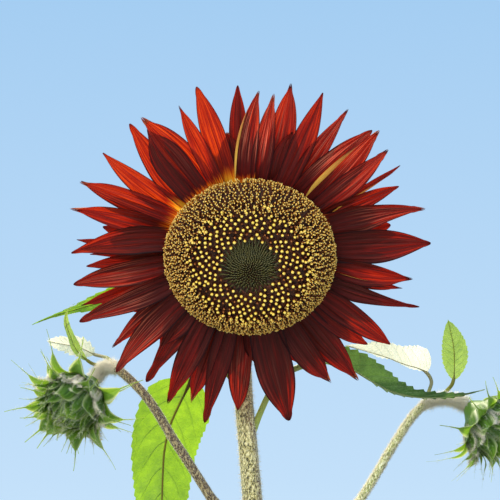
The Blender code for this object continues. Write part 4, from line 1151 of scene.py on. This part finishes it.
def build_bud(name, way, seed, finish, fuzz, wool):
    draw = random.Random(seed)
    more = random.Random(seed + 50)
    profile = [(2.8 * MM, -BUD_HALF_LENGTH - BUD_NECK)]
    for i in range(1, BUD_CORE_STEPS):
        turn = pi * (0.1 + 0.9 * i / BUD_CORE_STEPS)
        profile.append((BUD_RADIUS * sin(turn), -BUD_HALF_LENGTH * cos(turn)))
    profile.append((0.2 * MM, BUD_HALF_LENGTH))
    total = sum(ring[0] for ring in BUD_RINGS) + 1
    core, u, v = turned(np.array(profile), BUD_SEAMS)
    heap = Heap()
    heap.add(moved(way, core), grid_faces(*core.shape[:2]), cell(0, total, u, v),
             along=0.15, across=0.35, own=0.5, outer=0.0, downy=0.0)
    sheets, woolly = [], []
    t = np.linspace(0, 1, BUD_STEPS)
    # Half a bract's width: broad, then quickly drawn in to a long thin tip.
    tapered = (1 - (t / BUD_BRACT_BODY) ** 2.2) * (0.75 + 0.7 * t)
    tapered = np.maximum(np.maximum(tapered, 0.19 * (1 - t)), 0.03)
    for index, (count, reach, start, flare, wide) in enumerate(BUD_RINGS):
        source = draw if index < BUD_SOLID_RINGS else more
        outer, downy = max(0.0, 1 - start / 70), min(1.0, max(0.2, 1.3 - start / 85))
        start, flare = radians(start), radians(flare)
        for i in range(count):
            turn = tau * (i + index * 0.5 + source.uniform(-0.18, 0.18)) / count
            length = reach * source.uniform(0.88, 1.15) * MM
            roll = source.uniform(-0.12, 0.12)
            outward = np.array((cos(turn), sin(turn), 0))
            level = np.array((-sin(turn), cos(turn), roll))
            lean = bract_lean((t[1:] + t[:-1]) / 2, start, length, flare)
            lean = lean + more.uniform(-0.05, 0.1) + more.uniform(-0.35, 0.35) * t[1:] ** 3
            step = outward * np.sin(lean)[:, None]
            step[:, 2] = np.cos(lean)
            foot = outward * BUD_RADIUS * sin(start)
            foot[2] = -BUD_HALF_LENGTH * cos(start)
            line = np.cumsum(np.concatenate([[foot], step * length / (BUD_STEPS - 1)]), 0)
            line = line + level * (more.uniform(-2.5, 2.5) * MM * t ** 3)[:, None]
            wides = BUD_BRACT_WIDTH / 2 * wide * tapered
            sheets.append(blade(heap, line, level, wides, len(sheets) + 1, total, -BUD_FOLD,
                                more.uniform(-0.15, 0.15), way, outer, downy))
            if index in BUD_WOOL_RINGS:
                woolly.append(sheets[-1])
    heap.piece(name + "_bracts", finish, "green_bract", [name])
    fringe(name + "_hairs", fuzz, sheets, seed + 70, each=110, length=1.7)
    fringe(name + "_wool", wool, woolly, seed + 71, each=900, length=2.2, reach=0.5, edges=0.95,
           wide=0.09)


# ---------------- leaves

LEAF_ROWS = 72
NEAR_LEAF_ROWS = 110
LEAF_COLUMNS = 25
LEAF_LINE_STEPS = 20  # how many more steps a leaf's whole line has than its blade
NEAR_LEAF_STEPS = 12
STEM_LEAF_STEPS = 10
PETIOLE_ROWS = 60
PETIOLE_SIDES = 10
ONWARD_ROW = 6  # the row of a petiole that gives the way in which its foot drops
FOOT_DROP = (2.0, 3.0)  # how far, in millimetres, a leaf's foot sinks into its stem, and below
VEINS = 9.5
# Each look of a leaf: its name, its flesh in general, in its hollows and on its veins, the light
# that comes through and its share, and its midrib. The pale look is painted sunlight: a leaf
# painted near white where full sun falls on its top.
LEAF_LOOKS = dict(
    bright=("leaf_bright", "#64901c", "#3c6812", "#9cbc4c", "#a0cc1c", 0.55, "#5e4410"),
    soft=("leaf_soft", "#7c9c44", "#56782c", "#b4c880", "#acc854", 0.46, "#8c8c38"),
    dull=("leaf_green", "#3c5e2a", "#28441a", "#70905a", "#6c9438", 0.36, "#8a9a60"),
    # pale: painted sunlight on a leaf's top
    pale=("leaf_painted_sunlight", "#e2e4ca", "#c4cca0", "#faf8ea", "#f8f6e0", 0.50, "#a4a078"),
)
NEAR_LEAF_SEED = 200
STEM_LEAF_SEED = 300


def blade_half_width(t, half, widest, taper):
    narrowing = np.clip((t - widest) / (1 - widest), 0, 1)
    rising = np.sin(pi / 2 * np.clip(t / widest, 0, 1)) ** 0.6
    falling = np.maximum(0.03, (1 - narrowing) ** taper * (1 + 0.6 * narrowing))
    return half * np.where(t <= widest, rising, falling)


def build_leaf(name, line, edges, half, widest, start, petiole, finish, seed, out, teeth, bite,
               taper=LEAF_TAPER, fold=LEAF_FOLD, count=LEAF_ROWS):
    """A leaf: a round petiole that runs on as the midrib of a toothed, wavy blade."""
    draw = random.Random(seed)
    both = np.array(smooth_line([(*p, *e) for p, e in zip(line, edges)], count + LEAF_LINE_STEPS))
    length = np.concatenate([[0], np.cumsum(np.linalg.norm(np.diff(both[:, :3], axis=0), axis=1))])
    share = length / length[-1]
    points = both[:, :3]
    across, top = sides_of(points, both[:, 3:])

    def at_shares(at):
        """The points of the line, its ways across and its ways up, at shares of its length."""
        p, a, u = (np.stack([np.interp(at, share, v) for v in values.T], -1)
                   for values in (points, across, top))
        return p, unit(a), unit(u)

    # The blade.
    t = np.linspace(0, 1, count)
    p, a, u = at_shares(start + (1 - start) * t)
    t = t[:, None]
    s = np.linspace(-1, 1, LEAF_COLUMNS)
    wide = blade_half_width(t, half, widest, taper)
    wide = np.maximum(wide, 0.35 * petiole) * np.minimum(1, (1.003 - t) * 14)
    phase = draw.uniform(0, tau)
    saw = (t * teeth + 0.15 * np.sin(t * 23 + phase)) % 1.0
    ends = np.minimum(1, t * 8) * np.minimum(1, (1 - t) * 3)
    y = s * (wide + bite * half * ((saw - 0.7) * ends) * np.abs(s) ** 6)
    wave = draw.uniform(0.05, 0.09)
    rise = fold * np.abs(s) * wide
    rise = rise + wave * half * np.sin(2.3 * tau * t + phase + s * 1.5) * s * s \
        * np.sin(pi * t) ** 0.5
    # Side veins lie in grooves, and the blade swells between them.
    quilt = np.abs((((t - np.abs(s) * 0.16) * VEINS) % 1.0) - 0.5) * 2
    rise = rise - 0.045 * half * (quilt ** 4) * np.minimum(1, 3 * np.abs(s)) \
        * (1 - np.abs(s) ** 4) * np.sin(pi * t) ** 0.4
    rise = rise - 0.05 * half * np.exp(-(s / 0.07) ** 2)
    heap = Heap()
    heap.add(off_line(p, a, u, y, rise), grid_faces(count, LEAF_COLUMNS),
             stacked(0.03 + 0.85 * (s * 0.5 + 0.5), 0.02 + 0.96 * t), along=t, across=s, stalk=0.0)

    # The petiole and the midrib under the blade.
    at = np.linspace(0, 0.97, PETIOLE_ROWS)
    p, a, u = at_shares(at)
    out = np.array(out)
    onward = ways_of(p)[ONWARD_ROW]
    onward = unit(onward - out * onward.dot(out))
    p = p - np.exp(-at / 0.03)[:, None] * (out * FOOT_DROP[0] + onward * FOOT_DROP[1]) * MM
    on_blade = np.clip((at - start) / (1 - start), 0, 1)
    midrib = petiole * (0.15 + 0.85 * np.exp(-on_blade / 0.05)) * (1 - on_blade) ** 0.8 + 0.08 * MM
    thick = np.where(at < start, petiole * (1 + 0.6 * np.exp(-at / 0.025)), midrib)[:, None]
    turns = turns_of(PETIOLE_SIDES)
    groove = 1 - 0.22 * np.exp(-((turns - pi / 2) / 0.5) ** 2)
    lower = -0.55 * thick * np.minimum(1, on_blade * 12)[:, None]
    rings = off_line(p, a, u, np.cos(turns) * groove * thick,
                     np.sin(turns) * groove * thick + lower)
    around = 0.92 + 0.07 * np.abs(np.arange(PETIOLE_SIDES) / PETIOLE_SIDES * 2 - 1)
    at = at[:, None]
    heap.add(rings, grid_faces(PETIOLE_ROWS, PETIOLE_SIDES, True)[:, ::-1], stacked(around, at),
             along=0.5, across=0.0, stalk=np.clip(1 - at / start / 0.5, 0, 1))
    heap.piece(name + "_blade", finish, "leaf", [name])


def near_leaf(name, spec, limbs, looks, seed):
    on, place, line, edge, half, widest, start, petiole, taper, fold, teeth, bite, look = spec
    limb = limbs[on]
    where = limb.at_height(place) if on == "main" else limb.at_share(place)
    knots = [near_head(*k) for k in line]
    root, out = seat(where, knots[0])
    foot = root + out * LEAF_FOOT * petiole * MM
    line = smooth_line([root, foot, *knots], NEAR_LEAF_STEPS)
    build_leaf(name, line, [way_near_head(*edge)] * len(line), half * MM, widest, start,
               petiole * MM, looks[look], seed, out, teeth, bite, taper, fold, NEAR_LEAF_ROWS)


def stem_leaf(name, limb, height, turn, blade_length, draw, finish, seed):
    out = Vector((cos(turn), sin(turn), 0))
    edge = Vector((sin(turn), -cos(turn), 0))
    where = limb.at_height(height)
    root, away = seat(where, where[0] + out)
    petiole_length = blade_length * PETIOLE_SHARE
    total = petiole_length + blade_length
    steps = STEM_LEAF_STEPS
    rise = radians(draw.uniform(40, 50) * min(1, (1.0 - height) / 0.2))
    fall = radians(draw.uniform(100, 118))
    line = [root]
    for n in range(steps):
        slope = rise - fall * ((n + 0.5) / steps) ** 1.4
        line.append(line[-1] + (out * cos(slope) + Vector((0, 0, sin(slope)))) * total / steps)
    roll = radians(draw.uniform(-12, 12))
    edges = [edge + Vector((0, 0, sin(roll) * n / steps)) for n in range(steps + 1)]
    build_leaf(name, line, edges, blade_length * BLADE_SHARE_WIDE, BLADE_WIDEST,
               petiole_length / total, (1.4 + 9 * blade_length) * MM, finish, seed, away,
               STEM_LEAF_TEETH, STEM_LEAF_BITE)


def blade_length_at(share):
    """The length of a stem leaf's blade by its place, from the lowest (0) to the highest (1)."""
    if share < LONGEST_BLADE_AT:
        grown = sin(share / LONGEST_BLADE_AT * pi / 2)
        return BLADE_AT_FOOT + (BLADE_AT_MIDDLE - BLADE_AT_FOOT) * grown
    past = (share - LONGEST_BLADE_AT) / (1 - LONGEST_BLADE_AT)
    return BLADE_AT_MIDDLE + (BLADE_AT_TOP - BLADE_AT_MIDDLE) * past ** 1.3


# ---------------- the studio

SENSOR = 36
CAMERA_DISTANCE = 1.2
VIEW_WIDTH = 0.225
CAMERA_RISE = 5 * 0.00045
FLOOR_HALF = 8.0


def build_studio():
    forward = Vector((0, cos(LOOK_UP), sin(LOOK_UP)))
    up = Vector((0, -sin(LOOK_UP), cos(LOOK_UP)))
    camera = bpy.data.cameras.new("camera")
    camera.sensor_width = SENSOR
    camera.lens = SENSOR / 2 / (VIEW_WIDTH / 2 / CAMERA_DISTANCE)
    camera.clip_start = 0.01
    view = linked("camera", camera)
    way = Matrix((Vector((1, 0, 0)), up, -forward)).transposed().to_4x4()
    way.translation = HEAD_CENTRE - forward * CAMERA_DISTANCE + up * CAMERA_RISE
    view.matrix_world = way
    scene = bpy.context.scene
    scene.camera = view

    world = bpy.data.worlds.new("sky")
    scene.world = world
    world.use_nodes = True
    tree = world.node_tree
    coordinates, split, ramp = (tree.nodes.new("ShaderNode" + kind)
                                for kind in ("TexCoord", "SeparateXYZ", "ValToRGB"))
    background = tree.nodes["Background"]
    tree.links.new(coordinates.outputs["Generated"], split.inputs[0])
    tree.links.new(split.outputs["Z"], ramp.inputs["Fac"])
    tree.links.new(ramp.outputs["Color"], background.inputs["Color"])
    set_stops(ramp.color_ramp, (0.0, "#c8e4fb", 0.02, "#c3e0fa", 0.2, "#a4cdf2", 1.0, "#98c4ee"))
    background.inputs["Strength"].default_value = 1.0

    key = light("key", "SUN", (-0.40, 0.60, 0.86), 6.2, "#fff0d8")
    key.angle = radians(4)
    light("fill", "AREA", (-0.7, -1.5, 0.9), 31, "#fff6ea").size = 1.1
    light("side_fill", "AREA", (1.5, -0.6, 1.2), 9, "#f2f6ff").size = 1.2

    mesh = bpy.data.meshes.new("floor")
    corners = [(x * FLOOR_HALF, y * FLOOR_HALF, 0) for x, y in ((-1, -1), (1, -1), (1, 1), (-1, 1))]
    mesh.from_pydata(corners, [], [(0, 1, 2, 3)])
    mesh.materials.append(
        plain_finish("floor_pale", 2.0, 2.0, 0.9, None, 0.3, "#a8a8a4", 0.7, "#b0b0ac"))
    floor = linked("floor", mesh)
    scene.view_settings.view_transform = "Standard"


def light(name, kind, offset, strength, colour):
    """A light at an offset from the head that shines on it."""
    data = bpy.data.lights.new(name, kind)
    data.energy = strength
    data.color = srgb(colour)
    shape = linked(name, data)
    shape.location = HEAD_CENTRE + Vector(offset)
    shape.rotation_euler = Vector(offset).to_track_quat("Z", "Y").to_euler()
    return data


# ---------------- the plant


def main():
    build_studio()
    buds = {name: facing_frame(near_head(*middle), way_near_head(*faces))
            for name, (middle, faces) in BUDS.items()}
    main_limb = main_stem_limb()
    limbs = dict(main=main_limb,
                 left=side_stem_limb(LEFT_STEM, main_limb, buds["left"], 22),
                 right=side_stem_limb(RIGHT_STEM, main_limb, buds["right"], 20))
    pale_hair = hair_finish("hair_pale", "#dcd0a8", "#fffcf0")
    white_hair = hair_finish("hair_white", "#c8d0a0", "#fdfdf2")
    wool = hair_finish("wool_white", "#fff8e2", "#fffcee", 1.0)
    bark = stem_finish("stem_tan", "#aa9e5c", "#3c3814", "#eadfa8", "#64402f")
    brown = stem_finish("side_stem_brown", "#786840", "#281f0a", "#bcaa78", "#442c20", WOOL_FROM)
    green = stem_finish("side_stem_green", "#ccd07c", "#6a7228", "#fcfad4", "#848c48", WOOL_FROM)
    build_stem("main_stem", "stem", main_limb, STEM_SKINS["main"], SEED + 10, bark, pale_hair)
    for n, (name, look) in enumerate(dict(left=brown, right=green).items()):
        build_stem(name + "_side_stem", "side_stem", limbs[name], STEM_SKINS[name], SEED + 11 + n,
                   look, pale_hair, wool)
    build_petals()
    build_disc()
    green_bract = bract_finish()
    build_receptacle(green_bract, white_hair)
    for n, name in enumerate(BUDS):
        build_bud(name + "_bud", buds[name], SEED + 3 + n, green_bract, white_hair, wool)

    looks = {name: leaf_finish(*look) for name, look in LEAF_LOOKS.items()}
    for n, (name, spec) in enumerate(NEAR_LEAVES.items()):
        near_leaf(name, spec, limbs, looks, NEAR_LEAF_SEED + n)
    draw = random.Random(SEED + 2)
    for n in range(LEAF_COUNT):
        share = n / (LEAF_COUNT - 1)
        height = LOWEST_LEAF + (HIGHEST_LEAF - LOWEST_LEAF) * share
        turn = LAST_LEAF_TURN - LEAF_TURN * (LEAF_COUNT - 1 - n)
        stem_leaf(f"stem_leaf_{n + 1:02d}", limbs["main"], height, turn, blade_length_at(share),
                  draw, looks["dull"], STEM_LEAF_SEED + n)


main()
